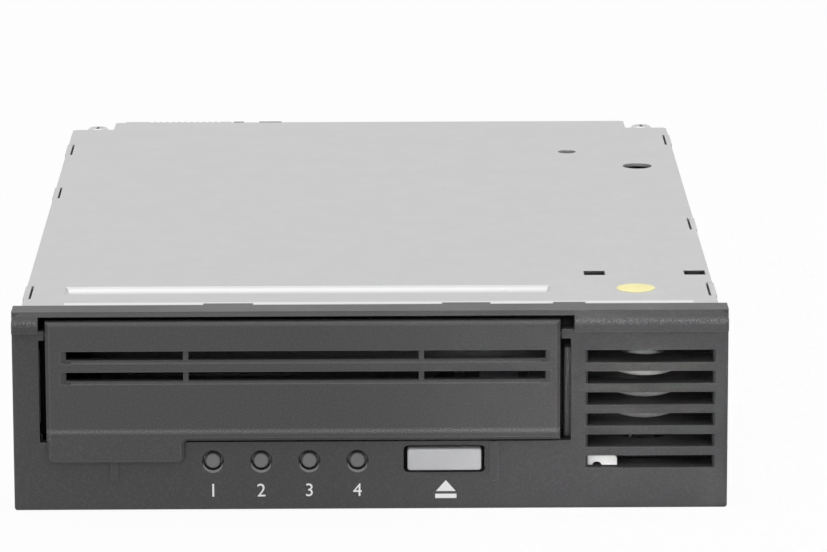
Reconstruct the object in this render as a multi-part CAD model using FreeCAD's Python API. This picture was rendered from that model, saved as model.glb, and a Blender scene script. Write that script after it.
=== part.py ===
import FreeCAD, Part
import math
import os

# Half-height 5.25 inch tape drive for single-reel cartridges.
#
# Millimetres. X runs to the right, Y to the rear, Z up. While a piece is made,
# Y = 0 is the bezel's front face and Z = 0 is the underside; save() then moves it
# back by half the drive's depth, so the origin is the centre of the base.

V = FreeCAD.Vector
X_AXIS = V(1, 0, 0)
Y_AXIS = V(0, 1, 0)
Z_AXIS = V(0, 0, 1)

# ---- clearances -------------------------------------------------------------
SEAT_GAP = 0.3           # between loose neighbours that nearly touch
RUN_FIT = 0.05           # radial play of a shaft or screw in its hole
MESH_PLAY = 0.16         # thinning of each gear tooth, for backlash
THROUGH = 1.0            # how far a cutting tool runs past a face

# ---- cartridge bay ----------------------------------------------------------
CART_W = 105.4           # half-inch tape cartridge
CART_H = 21.5
CART_L = 102.0
CART_PLAY = 0.4
CART_X = -13.81          # middle of the bay, left of the drive's middle
CART_FRONT = 2.2         # front edge of a cartridge, just behind the door
CART_BOTTOM = 14.8       # where a cartridge enters
TRAY_SHEET = 0.8
TRAY_FRONT = 13.0
TRAY_LIP_W = 4.5
TRAY_DROP = 6.0
TRAY_WINDOW_IN = 14.0    # margins of the window in the tray's roof
TRAY_WINDOW_FRONT = 2.0  # more at the front
TRAY_WINDOW_R = 4.0
TRAY_STOP = (26.0, 8.0)  # width and depth of the stop tab behind the cartridge
TRAY_PIN_Y = (40.0, 88.0)
TRAY_PIN_Z = 25.0
TRAY_PIN_R = 1.2
PIN_SLOT_GAP = 0.2
FRAME_SHEET = 0.8
FRAME_START = 14.0       # behind the tray's front edge
FRAME_END = 3.0          # behind the tray's rear edge
FRAME_TOP_GAP = 0.7      # below the tray's roof
FRAME_FOOT_W = 7.0
FRAME_FOOT_SHORT = 6.0   # the foot ends before the sheet
FRAME_LIGHT_Y = (24.0, 28.0)    # margins of the lightening window, front and rear
FRAME_LIGHT_Z = 6.0
FRAME_LIGHT_R = 2.0
SLIDE_SHEET = 0.8
SLIDE_TRAVEL = 18.0
SLIDE_Y = (18.0, 92.0)
SLIDE_Z = (14.5, 29.0)
SLIDE_R = 2.0
LINK_Y = (76.0, 82.0)
LINK_T = 1.0
LINK_OVER_TRAY = 0.9
SIDE_ROOM = 1.89         # between the left slide and the case wall
ROOF_ROOM = 1.6          # between the link and the cover

# ---- case -------------------------------------------------------------------
WALL_T = 1.2
FLOOR_T = 1.0
COVER_SHEET = 0.8
COVER_SUNK = 0.6         # cover's top below the bezel's top
COVER_OVERHANG = 3.0     # of the cover's middle, beyond the rear wall
SHOULDER_BACK = 6.2      # its corners stop this short of the rear wall
SHOULDER_IN = 10.0       # width of each bared corner
SHOULDER_R = 1.2
CONNECTOR_REACH = 4.5    # rear connectors beyond the rear wall
REAR_SPACE = 12.5        # between the take-up reel and the rear face
EAR_LOW = 5.0
EAR_DOWN = 5.0           # front ears end this far below the walls' top
MOUNT_HOLE_R = 1.5       # M3
MOUNT_FIRST_Y = 52.4     # bezel face to the first mounting hole
MOUNT_PITCH_Y = 79.25
SIDE_HOLE_Z = (10.0, 21.84)
BOTTOM_PITCH_X = 139.7
NOTCH_L = 13.0
NOTCH_CENTRES = {-1: (22.2, 129.6, 182.5), 1: (22.8, 91.3, 192.4)}
NOTCH_DEPTH = 1.4        # in from the cover's edge
LEDGE_T = 1.0            # corner ledges under the cover's screwed ears
LEDGE_L = 9.5
COVER_SCREW_IN = (6.2, 2.9)     # in from the side wall and the rear wall
COVER_SCREW_POINT = 2.0  # below the ledge
EAR_DROP = 1.8           # the ears lie this far below the cover's top
VENT_W = 2.2
VENT_PITCH = 7.0
REAR_VENTS = 9
REAR_VENT_X = -4.0
REAR_VENT_Z = (20.0, 33.0)
SIDE_VENTS = 6
SIDE_VENT_Y = 142.0
SIDE_VENT_Z = (26.0, 34.0)

# ---- top cover --------------------------------------------------------------
COVER_FRONT_GAP = 0.2    # behind the bezel's top wall
COVER_FLANGE_H = 3.8
COVER_BEND_R = 2.2       # outside of the front bend
REAR_FLANGE_IN = 2.0
FRONT_BEND_IN = (8.7, 5.0)      # ends of the front bend, in from the cover's sides
TAB_DROP = 4.5
TAB_END = 1.0            # side tabs are this much shorter than their notches, at each end
BEAD_X = (-64.6, 38.2)
BEAD_Y = (20.0, 27.6)
BEAD_DEPTH = 1.2
BEAD_SLOPE = 1.4         # of its two ends
ADJUST_HOLES = ((47.3, 177.4, 2.15), (63.25, 159.2, 3.45))
COVER_SLOTS_X = (45.8, 67.3)
COVER_SLOT_W = 4.6
COVER_SLOT_Y = (37.1, 41.6)
DOT_X = 56.25
DOT_Y = 23.7
DOT_R = 4.05
DOT_T = 0.12

# ---- bezel ------------------------------------------------------------------
BEZEL_D = 9.7            # front face to rear rim
BEZEL_TOP_D = 6.5        # its top wall stops before the cover
BEZEL_LAP = 1.4          # beyond the case on each side
BEZEL_FRONT = 2.4        # thickness of the front wall
BEZEL_RIM = 1.5          # thickness of its top and bottom walls
BEZEL_SIDE = 1.2
BEZEL_EDGE_R = 0.6
BROW_H = 4.4
BROW_PROUD = 1.3
BROW_R = 2.2
LIP_T = 0.9              # top lip over the door
APERTURE_SIDES = (2.34, 2.81)   # beyond the cartridge, left and right
HINGE_NOTCH = 0.67       # the aperture is wider above the brow line, beside the hinge
SILL_Z = 14.6
TONGUES_X = ((-34.8, -24.4), (15.0, 25.1), (38.2, 44.9))
TONGUE_REACH = 1.5       # top tongues lap over the cover's front edge
HOOK_Y = (7.6, 9.0)
HOOK_Z = (12.5, 19.5)
HOOK_WINDOW_GAP = 0.4
FINGER_RIB_HALF = 39.6   # the two ribs stand this far each side of the aperture centre
FINGER_RIB_W = 1.5
FINGER_RIB_PROUD = 0.5
FINGER_RIB_Z0 = 6.1

# louvred air intake
LOUVRE_W = 26.1
LOUVRE_SIDE = 3.1        # in from the bezel's right edge
LOUVRE_BEVEL = 0.55
LOUVRE_COUNT = 6
LOUVRE_PITCH = 4.515
LOUVRE_SLOT_H = 2.68
LOUVRE_BOTTOM = 8.64
LOUVRE_D = 6.0
LOUVRE_ARC = 3.2         # the slats are this much shallower in their middle
LOUVRE_RISE = 0.5
SLAT_REAR_T = 1.0
LOUVRE_FRAME_T = 1.0

# status lights and eject button
LED_FIRST_X = -32.9
LED_PITCH = 10.04
LED_COUNT = 4
LED_Z = 10.47
LENS_R = 1.62
LENS_CHAMFER = 0.25
LENS_BORE_R = 2.1
LENS_SINK_R = 2.45
LENS_SINK_D = 0.45
LENS_FLANGE_R = 2.6
LENS_FLANGE_T = 0.8
LENS_RECESS = 0.25
BUTTON_X = (7.65, 23.01)
BUTTON_Z = (8.53, 13.08)
BUTTON_WINDOW_X = (6.82, 23.91)
BUTTON_WINDOW_Z = (7.92, 13.66)
BUTTON_WINDOW_R = 1.0
BUTTON_PROUD = 1.0
BUTTON_TRAVEL = 0.7
BUTTON_R = 0.6
BUTTON_EDGE_R = 0.35
BUTTON_FLANGE = 1.1      # overlap of its flange behind the wall
BUTTON_FLANGE_T = 0.8
BUTTON_STEM_R = 1.5
SWITCH_W = 6.0
SWITCH_T = 1.0
PLUNGER_R = 1.2
PLUNGER_L = 0.6

# front board
FRONT_BOARD_X = (-40.0, 28.0)
FRONT_BOARD_Z = (3.2, 14.0)
FRONT_BOARD_Y = 6.6
BOARD_T = 1.2
FRONT_POST_X = (-7.6, 2.4)
FRONT_POST_Z = 6.6
FRONT_POST_R = 2.2
FRONT_SCREW_L = 3.4
LED_CHIP = (1.6, 0.7, 1.2)

# ---- cartridge door ---------------------------------------------------------
DOOR_SIDE_GAPS = (1.45, 2.30)   # to the aperture's left and right ends
DOOR_TOP_GAP = 0.9
DOOR_BOTTOM = 15.16
DOOR_PROUD = 1.8
DOOR_T = 2.4
DOOR_TOP_R = 1.0
TAB_IN = 0.19            # from the door's left end
TAB_W = 28.3
TAB_BOTTOM = 10.4
TAB_T = 1.05
TAB_CORNER_R = 1.3
TAB_INNER_R = 0.91
CREASE_Z = 16.98
CREASE_TILT = 0.35       # the face leans back this much from crease to tab end
DOOR_BEVEL = 0.8
DOOR_SLOT_IN = (4.27, 3.03)     # in from the door's left and right ends
DOOR_SLOT_Z = ((31.85, 34.38), (27.43, 29.97))
DOOR_SLOT_BEVEL = (1.2, 0.75)   # along X and into the face
DOOR_SLOT_RISE = 0.6
DIVIDER_FROM_MID = (-24.49, 24.41)
DIVIDER_W = 1.1
DIVIDER_RECESS = 0.7
HINGE_Y = 0.9
HINGE_DOWN = 3.2         # below the door's top edge
HINGE_PIN_R = 0.6
HINGE_PIN_IN = (3.2, 2.4)       # into the bezel, left and right
KNUCKLE_R = 1.1
KNUCKLE_L = 3.4
HINGE_EAR_H = 2.0
DOOR_RIB_Z = (19.5, 24.0)
DOOR_RIB_IN = 6.0
DOOR_RIB_T = 1.2
DOOR_RIB_D = 0.9
SPRING_TURNS = 5
SPRING_WIRE_R = 0.2
SPRING_WIRE_SIDES = 8
SPRING_R = 1.05
SPRING_L = 3.0

# ---- fan --------------------------------------------------------------------
FAN_W = 28.0
FAN_SIDE_GAP = 0.4
FAN_Y = 16.0
FAN_D = 10.0
FAN_CORNER_R = 2.0
FAN_AXIS_Z = 21.2
FAN_BORE_R = 12.9
FAN_MOUTH = 0.8          # width and depth of the bore's flare
FAN_HUB_R = 9.2
FAN_HUB_EDGE_R = 1.6
FAN_BLADES = 7
FAN_BLADE_T = 0.8
FAN_BLADE_SWEEP = 4.0    # sideways, from leading to trailing edge
FAN_ROTOR_IN = 1.0       # behind the housing's front face
FAN_STRUTS = 3
FAN_STRUT_W = 1.6
FAN_STRUT_T = 1.4
FAN_STRUT_TURN = 30.0
FAN_SHAFT_R = 1.0
FAN_SHAFT_IN = 2.5
FAN_SHAFT_END_GAP = 0.3
FAN_SCREW_X_IN = 3.4
FAN_SCREW_Z_IN = 3.2
FAN_SCREW_SHORT = 1.5
PLUG_IN = 1.9            # from the fan housing's left side
PLUG_W = 6.6
PLUG_Y = 10.8
PLUG_H = 7.8
PLUG_R = 0.9
PLUG_WAYS = 3
PLUG_PITCH = 2.0
PLUG_SLOT_W = 0.8
PLUG_SLOT_Z = (1.5, 4.5)
PLUG_SLOT_D = 0.7

# ---- deck -------------------------------------------------------------------
DECK_SIDE_GAP = 1.8
DECK_FIXING_IN = ((6.0, 6.0), (4.0, 22.0), (8.0, 5.0))   # front left, front right, both rear
DECK_FRONT_IN = 1.0      # behind the tray's front edge
DECK_REAR_GAP = 12.0
DECK_STEP_GAP = 0.5      # behind the bay's side frames
DECK_T = 2.0
DECK_LOW_Z = 2.5
DECK_HIGH_Z = 8.0
DECK_RIBS_X = (-45.0, -30.0, 2.4, 17.4)
DECK_RIB_T = 2.0
DECK_RIB_H = 2.4
DECK_RIB_L = 6.0
DECK_BAR_H = 0.5
DECK_BAR_IN = (4.5, 6.5) # before the step and before the rear edge
DECK_BAR_T = 2.0
DECK_BAR_SIDE_IN = (14.0, 2.0)   # from the deck's left edge and from the bay's middle
DECK_WINDOW_OUT = 37.5   # each side of the bay's middle
DECK_WINDOW_W = 14.0
DECK_WINDOW_START = 16.0 # behind the deck's front edge
DECK_WINDOW_END = 16.5   # before the step
DECK_WINDOW_R = 3.0
DECK_CABLE_H = 0.5
ISOLATOR_R = 4.0
DECK_HOLE_PLAY = 0.2
DECK_SCREW_SHORT = 0.4   # a front screw's point above the underside
DECK_SCREW_L = 8.0
M3_R = 1.5
M3_HEAD_R = 2.7
M3_HEAD_H = 1.7
M2_R = 1.0
M2_HEAD_R = 1.9
M2_HEAD_H = 1.2
HEAD_CHAMFER = 0.35      # of a screw head's height, round its top edge
CROSS_L = 1.1            # its cross recess, as shares of the head's radius
CROSS_W = 0.26

# ---- loader gears -----------------------------------------------------------
RACK_MODULE = 0.8
RACK_Y = (46.0, 76.0)
RACK_Z = (26.8, 28.8)
RACK_WEB = 3.2
PRESSURE_ANGLE = 20.0
DEDENDUM = 1.25          # in modules
TOOTH_TIP = 0.5          # a tooth's width at tip and root, as shares of its pitch width
TOOTH_ROOT = 1.55
PINION_TEETH = 16
PINION_Y = 70.0
DRIVE_MODULE = 0.6
BIG_TEETH = 30
MOTOR_TEETH = 10
DRIVE_Z = (29.6, 31.8)
MOTOR_ANGLE = 45.0       # from the gear post to the motor, degrees
MOTOR_R = 7.5
MOTOR_FLAT = 0.85        # of the can's radius, to its two flats
MOTOR_EDGE_R = 0.8
GEAR_POST_R = 1.5
GEAR_POST_ABOVE = 1.0
MOTOR_SHAFT_R = 0.75
MOTOR_SHAFT_ABOVE = 0.6

# ---- reels ------------------------------------------------------------------
SUPPLY_IN = 53.8         # cartridge's front edge to its hub
SUPPLY_MOTOR_R = 26.0
SUPPLY_MOTOR_T = 0.8
SUPPLY_WELL_STEP = 4.0
CLUTCH_R = 22.0
CLUTCH_T = 1.4
CROWN_R = (9.0, 12.5)
CROWN_H = 1.4
CROWN_TEETH = 18
CROWN_GASH = (0.7, 2.0)  # width at its foot and its top
CROWN_FOOT = 0.2
SPINDLE_R = 2.0
REEL_R = 41.5
REEL_SIDE_GAP = 6.3      # to the left wall
REEL_STEP_GAP = 10.5     # behind the deck's step
REEL_HUB_R = 22.0
REEL_NECK_R = 18.0       # the upper flange sits round this neck
REEL_WELL = (13.0, 3.0)  # radius, and floor above the lower flange
REEL_WINDOWS = 3
REEL_WINDOW_R = (26.0, 36.5)
REEL_WINDOW_HALF = 26.565
REEL_WINDOW_TURN = 40.0
LEADER_SLOT_W = 5.0
LEADER_SLOT_D = 9.0
FLANGE_T = 1.2
TAPE_W = 13.0            # between the flanges
TAPE_LOW = 13.1
TAKE_UP_MOTOR_R = 30.0
TAKE_UP_MOTOR_T = 1.2
TAKE_UP_SHAFT_R = 2.5

# ---- tape path --------------------------------------------------------------
ROLLER_PLACES = ((-18.0, -22.0), (-5.0, -17.0), (-5.0, 17.0), (-19.0, 24.0))    # from the head's axis
ROLLER_R = 5.4
ROLLER_FLANGE_R = 6.4
ROLLER_FLANGE_T = 0.8
ROLLER_POST_R = 2.0
POST_COLLAR_R = 4.0
POST_CAP_R = 3.2
POST_CAP_T = 0.7
ARM_TIP_OUT = (30.0, 5.5)       # left of the head's axis, and behind the deck's step
ARM_R = 48.0
ARM_Z = 29.6
ARM_T = 1.6
ARM_W = 7.0
ARM_TIP_W = 4.8
ARM_BOSS_R = 4.5
ARM_BOSS_DOWN = 1.0
ARM_BOSS_H = 3.6
HOOK_R = 3.2
HOOK_DROP = 1.2
HOOK_NOTCH_W = 1.6
HOOK_NOTCH_UP = 0.9
ARM_POST_R = 2.0
ARM_POST_SHOULDER_R = 3.2
ARM_POST_ABOVE = 1.6

# ---- head -------------------------------------------------------------------
HEAD_SIDE = 5.8          # from the case's right wall to the head's axis
HEAD_IN = 29.5           # behind the deck's step
HEAD_ROD_HALF = 5.5
HEAD_ROD_R = 1.25
CARRIAGE_REACH = (5.0, 2.6)     # left and right of the axis
CARRIAGE_W = 15.0
CARRIAGE_R = 1.2
CARRIAGE_Z = (14.6, 24.6)
HEAD_FACE_OUT = 10.4
HEAD_W = 8.0
HEAD_NOSE_R = 9.0
HEAD_FRAME_REACH = 4.6
HEAD_ROOF_REACH = 5.0
HEAD_FRAME_W = 18.0
HEAD_FRAME_T = 1.2
HEAD_FRAME_TOP = 29.4
LEAD_SCREW_R = 1.5
LEAD_SCREW_FOOT = 0.4
LEAD_SCREW_TOP_GAP = 0.1
STEPPER_R = 5.0
STEPPER_H = 6.0
STEPPER_EDGE_R = 0.6

# ---- main board and rear connectors -----------------------------------------
BOARD_SIDE_GAP = 5.8
BOARD_FRONT_IN = 4.5     # behind the deck's step
BOARD_Z = 3.4
STANDOFF_R = 2.6
BOARD_SCREW_IN = 2.0     # into the standoff
BOARD_FIXING_IN = ((14.0, 9.0), (6.0, 63.0))    # in from the side edge and the front edge
BOARD_CORNER_GAP = 1.0
CHIPS = ((-22.0, 37.0, 20.0, 20.0), (18.0, 37.0, 14.0, 14.0), (-48.0, 37.0, 12.0, 18.0),
         (44.0, 35.0, 8.0, 16.0), (-10.0, 69.0, 10.0, 20.0), (22.0, 71.0, 12.0, 12.0))
CHIP_H = 1.6
PORT_X = -38.0
PORT_W = 47.0
PORT_H = 9.4
PORT_L = 14.5
PORT_WALL = 0.8
PORT_SLANT = 1.6
PORT_DEPTH = 6.0
PORT_PINS = 34
PORT_PIN_IN = 6.0        # first contact, in from the shell's side
PORT_BLADE_IN = 5.0
PORT_BLADE_T = 2.4
PORT_BLADE_BACK = 1.2    # behind the shell's mouth
PORT_GROOVE = (0.4, 0.5) # share of the pitch, and depth across the blade's face
PORT_GROOVE_L = 5.4
POWER_X = 48.0
POWER_W = 21.6
POWER_H = 9.0
POWER_L = 14.5
POWER_BACK = 1.0         # behind the data connector's mouth
POWER_WALL = 1.0
POWER_CHAMFER = 1.6
POWER_DEPTH = 10.0
POWER_PINS = 4
POWER_PITCH = 5.08
POWER_PIN_R = 1.05
POWER_PIN_L = 9.0
CUT_GAP = 0.3            # around connectors in the rear wall
JUMPER_X = (-33.7, -21.8)
JUMPER_DOWN = (11.8, 4.8)       # below the cover's top
JUMPER_L = 7.6
JUMPER_LUGS = ((-33.6, -31.1), (-27.3, -21.8))
JUMPER_LUG_GAP = 0.1
JUMPER_WAYS = (5, 2)
JUMPER_PITCH = (2.2, 2.54)
JUMPER_SOCKET = 0.9
JUMPER_SOCKET_IN = (1.4, 1.75)
JUMPER_SOCKET_D = 3.0
CLIP_X = (-60.2, -34.2)
CLIP_T = 0.4
CLIP_REACH = 1.1
CLIP_TEETH = 12
CLIP_TOOTH_IN = (6.0, 2.0)      # first and last slot, in from the strip's ends
CLIP_SLOT_SHARE = 0.55
CLIP_SLOT_H = 2.0

# ---- front cable and cartridge sensor ---------------------------------------
CABLE_X = (12.0, 30.0)
CABLE_T = 0.3
CABLE_Z = 1.6
CABLE_TOP = 5.0
CABLE_LAP = 4.0
CABLE_GAP = 1.0
SENSOR_X = 20.0
SENSOR_BACK = 10.5       # before the deck's step
SENSOR = (9.0, 5.0, 2.6)
SENSOR_FORK_W = 2.5
SENSOR_FORK_FLOOR = 1.0

# ---- derived sizes: the bay and what surrounds it ---------------------------
TRAY_IN = CART_W / 2 + CART_PLAY
TRAY_OUT = TRAY_IN + TRAY_SHEET
FRAME_IN = TRAY_OUT + SEAT_GAP
SLIDE_IN = FRAME_IN + FRAME_SHEET + SEAT_GAP
SLIDE_OUT = SLIDE_IN + SLIDE_SHEET
LIP_TOP = CART_BOTTOM - CART_PLAY
TRAY_TOP = CART_BOTTOM + CART_H + CART_PLAY
TRAY_Y = (TRAY_FRONT, CART_FRONT + CART_L + 2 * CART_PLAY)
FRAME_Y = (TRAY_Y[0] + FRAME_START, TRAY_Y[1] + FRAME_END)
FRAME_TOP = TRAY_TOP - FRAME_TOP_GAP
LINK_Z = TRAY_TOP + TRAY_SHEET + LINK_OVER_TRAY
SUPPLY_Y = CART_FRONT + SUPPLY_IN

# the case: as wide and tall as the bay needs, and as long as bay and reel need
HALF_W = SLIDE_OUT - CART_X + SIDE_ROOM + WALL_T
INNER_X = HALF_W - WALL_T
WALL_TOP = LINK_Z + LINK_T + ROOF_ROOM
COVER_TOP = WALL_TOP + COVER_SHEET
DECK_STEP_Y = FRAME_Y[1] + DECK_STEP_GAP
TAKE_UP = (REEL_R + REEL_SIDE_GAP - INNER_X, DECK_STEP_Y + REEL_STEP_GAP + REEL_R)
CHASSIS_REAR = TAKE_UP[1] + REEL_R + REAR_SPACE
REAR_REACH = CHASSIS_REAR + CONNECTOR_REACH
FLOOR_FRONT = BEZEL_D + SEAT_GAP
EAR_Z = (EAR_LOW, WALL_TOP - EAR_DOWN)
EAR_FRONT = LOUVRE_D + SEAT_GAP
COVER_W = 2 * (HALF_W - SEAT_GAP)
COVER_FRONT = BEZEL_TOP_D + COVER_FRONT_GAP
COVER_REAR = CHASSIS_REAR + COVER_OVERHANG
SHOULDER_REAR = CHASSIS_REAR - SHOULDER_BACK
SHOULDER_X = COVER_W / 2 - SHOULDER_IN
FRONT_BEND_X = (FRONT_BEND_IN[0] - COVER_W / 2, COVER_W / 2 - FRONT_BEND_IN[1])
LEDGE_TOP = COVER_TOP - EAR_DROP - COVER_SHEET
LEDGE_FRONT = CHASSIS_REAR - LEDGE_L
COVER_SCREW_X = HALF_W - COVER_SCREW_IN[0]
COVER_SCREW_Y = CHASSIS_REAR - COVER_SCREW_IN[1]

# the front
BEZEL_W = 2 * (HALF_W + BEZEL_LAP)
BEZEL_H = COVER_TOP + COVER_SUNK
BROW_Z = BEZEL_H - BROW_H
LIP_Z = BEZEL_H - LIP_T
APERTURE_X = (CART_X - CART_W / 2 - APERTURE_SIDES[0], CART_X + CART_W / 2 + APERTURE_SIDES[1])
APERTURE_TOP_X1 = APERTURE_X[1] + HINGE_NOTCH
DOOR_X = (APERTURE_X[0] + DOOR_SIDE_GAPS[0], APERTURE_X[1] - DOOR_SIDE_GAPS[1])
DOOR_TOP = LIP_Z - DOOR_TOP_GAP
HINGE_Z = DOOR_TOP - HINGE_DOWN
TAB_X = (DOOR_X[0] + TAB_IN, DOOR_X[0] + TAB_IN + TAB_W)
DOOR_SLOT_X = (DOOR_X[0] + DOOR_SLOT_IN[0], DOOR_X[1] - DOOR_SLOT_IN[1])
DIVIDER_X = [CART_X + off for off in DIVIDER_FROM_MID]
FACE_Y = -DOOR_PROUD
SHIFT_Y = -(REAR_REACH + FACE_Y) / 2
LED_XS = [LED_FIRST_X + LED_PITCH * i for i in range(LED_COUNT)]
LOUVRE_X = (BEZEL_W / 2 - LOUVRE_SIDE - LOUVRE_W, BEZEL_W / 2 - LOUVRE_SIDE)
LOUVRE_TOP = LOUVRE_BOTTOM + LOUVRE_PITCH * (LOUVRE_COUNT - 1) + LOUVRE_SLOT_H
FRONT_BOARD_REAR = FRONT_BOARD_Y + BOARD_T
FAN_X = (INNER_X - FAN_SIDE_GAP - FAN_W, INNER_X - FAN_SIDE_GAP)
FAN_AXIS_X = sum(FAN_X) / 2
FAN_TOP = WALL_TOP - TAB_DROP - SEAT_GAP
PLUG_X = (FAN_X[0] + PLUG_IN, FAN_X[0] + PLUG_IN + PLUG_W)

# the deck, the board and what stands on them
DECK_X = INNER_X - DECK_SIDE_GAP
DECK_Y = (TRAY_Y[0] + DECK_FRONT_IN, CHASSIS_REAR - DECK_REAR_GAP)
DECK_LOW_TOP = DECK_LOW_Z + DECK_T
DECK_HIGH_TOP = DECK_HIGH_Z + DECK_T
DECK_FIXINGS = ((DECK_FIXING_IN[0][0] - DECK_X, DECK_Y[0] + DECK_FIXING_IN[0][1]),
                (DECK_X - DECK_FIXING_IN[1][0], DECK_Y[0] + DECK_FIXING_IN[1][1]),
                (DECK_FIXING_IN[2][0] - DECK_X, DECK_Y[1] - DECK_FIXING_IN[2][1]),
                (DECK_X - DECK_FIXING_IN[2][0], DECK_Y[1] - DECK_FIXING_IN[2][1]))
RACK_PITCH_X = CART_X + SLIDE_OUT + RACK_WEB + DEDENDUM * RACK_MODULE
PINION_R = RACK_MODULE * PINION_TEETH / 2
PINION_X = RACK_PITCH_X + PINION_R
DRIVE_CENTRES = DRIVE_MODULE * (BIG_TEETH + MOTOR_TEETH) / 2
MOTOR_X = PINION_X + DRIVE_CENTRES * math.cos(math.radians(MOTOR_ANGLE))
MOTOR_Y = PINION_Y + DRIVE_CENTRES * math.sin(math.radians(MOTOR_ANGLE))
MOTOR_TOP = RACK_Z[0] - 2 * SEAT_GAP
TAPE_HIGH = TAPE_LOW + TAPE_W
HEAD_AXIS_X = INNER_X - HEAD_SIDE
HEAD_Y = DECK_STEP_Y + HEAD_IN
ROLLERS = [(HEAD_AXIS_X + dx, HEAD_Y + dy) for dx, dy in ROLLER_PLACES]
ARM_REST = (HEAD_AXIS_X - ARM_TIP_OUT[0], DECK_STEP_Y + ARM_TIP_OUT[1])
CARRIAGE_X = (HEAD_AXIS_X - CARRIAGE_REACH[0], HEAD_AXIS_X + CARRIAGE_REACH[1])
HEAD_FACE_X = HEAD_AXIS_X - HEAD_FACE_OUT
HEAD_FRAME_X = (HEAD_AXIS_X - HEAD_FRAME_REACH, HEAD_AXIS_X + HEAD_FRAME_REACH)
BOARD_X = INNER_X - BOARD_SIDE_GAP
BOARD_Y = (DECK_STEP_Y + BOARD_FRONT_IN, CHASSIS_REAR - WALL_T - SEAT_GAP)
BOARD_TOP = BOARD_Z + BOARD_T
BOARD_FIXINGS = [(side * (BOARD_X - x_in), BOARD_Y[0] + y_in) for x_in, y_in in BOARD_FIXING_IN for side in (-1, 1)]
PORT_FRONT = REAR_REACH - PORT_L
POWER_REAR = REAR_REACH - POWER_BACK
POWER_FRONT = REAR_REACH - POWER_L
JUMPER_Z = (COVER_TOP - JUMPER_DOWN[0], COVER_TOP - JUMPER_DOWN[1])


# ---- simple solids ----------------------------------------------------------

def block(x0, x1, y0, y1, z0, z1):
    """A plain block between two corners."""
    return Part.makeBox(x1 - x0, y1 - y0, z1 - z0, V(x0, y0, z0))


def mid_block(x, y, width, depth, z0, z1):
    """A block centred on x and y."""
    return block(x - width / 2, x + width / 2, y - depth / 2, y + depth / 2, z0, z1)


def rod(x, y, z, radius, length, axis=Z_AXIS):
    """A cylinder that starts at a point and runs along an axis."""
    return Part.makeCylinder(radius, length, V(x, y, z), axis)


def outline_xz(points, y0, y1):
    """An upright outline, seen from the front, pushed from y0 to y1."""
    wire = Part.makePolygon([V(x, y0, z) for x, z in points + points[:1]])
    return Part.Face(wire).extrude(V(0, y1 - y0, 0))


def outline_yz(points, x0, x1):
    """An upright outline, seen from the side, pushed from x0 to x1."""
    wire = Part.makePolygon([V(x0, y, z) for y, z in points + points[:1]])
    return Part.Face(wire).extrude(V(x1 - x0, 0, 0))


def outline_xy(points, z0, z1):
    """A flat outline, seen from above, pushed from z0 to z1."""
    wire = Part.makePolygon([V(x, y, z0) for x, y in points + points[:1]])
    return Part.Face(wire).extrude(V(0, 0, z1 - z0))


def loft_rects(rect_a, z_a, rect_b, z_b):
    """A solid between two level rectangles (x0, x1, y0, y1)."""
    wires = []
    for (x0, x1, y0, y1), z in ((rect_a, z_a), (rect_b, z_b)):
        corners = [V(x0, y0, z), V(x1, y0, z), V(x1, y1, z), V(x0, y1, z), V(x0, y0, z)]
        wires.append(Part.makePolygon(corners))
    return Part.makeLoft(wires, True, True)


def join(first, *others):
    """One solid from several that touch or overlap."""
    return first.multiFuse(list(others)).removeSplitter()


def cut(shape, *tools):
    """The shape with the tools taken away."""
    return shape.cut(list(tools))


def edges_along(shape, axis, test):
    """The straight edges parallel to an axis whose middle passes a test."""
    found = []
    for edge in shape.Edges:
        ends = edge.Vertexes
        if len(ends) != 2:
            continue
        run = ends[1].Point.sub(ends[0].Point)
        if run.Length > 0 and abs(run.dot(axis)) > 0.999 * run.Length:
            if test(edge.CenterOfMass):
                found.append(edge)
    return found


def rounded(shape, radius, axis, test=lambda middle: True):
    """Fillets on the chosen straight edges."""
    return shape.makeFillet(radius, edges_along(shape, axis, test))


def round_slot(x0, x1, start, end, radius):
    """A round-ended slot through X between two (y, z) points."""
    run = V(0, end[0] - start[0], end[1] - start[1])
    side = V(0, -run.z, run.y)
    side.multiply(radius / run.Length)
    a = V(x0, start[0], start[1])
    b = V(x0, end[0], end[1])
    corners = [a.add(side), a.sub(side), b.sub(side), b.add(side), a.add(side)]
    length = V(x1 - x0, 0, 0)
    middle = Part.Face(Part.makePolygon(corners)).extrude(length)
    ends = [Part.makeCylinder(radius, x1 - x0, point, X_AXIS) for point in (a, b)]
    return join(middle, *ends)


def screw(x, y, seat_z, shank_r, shank_l, head_r, head_h):
    """A pan-head screw pointing down, its head seated at seat_z, with a cross recess."""
    top = seat_z + head_h
    head = rod(x, y, seat_z, head_r, head_h)
    rim = [e for e in head.Edges if len(e.Vertexes) == 1 and e.CenterOfMass.z > top - head_h / 2]
    head = head.makeChamfer(head_h * HEAD_CHAMFER, rim)
    shank = rod(x, y, seat_z - shank_l, shank_r, shank_l)
    arm = head_r * CROSS_L
    slot_w = head_r * CROSS_W
    floor = top - head_h / 2
    recess = [mid_block(x, y, arm, slot_w, floor, top + THROUGH), mid_block(x, y, slot_w, arm, floor, top + THROUGH)]
    return cut(join(head, shank), *recess)


def group(solids):
    """Several separate solids that share one node."""
    return Part.makeCompound(list(solids))


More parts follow.
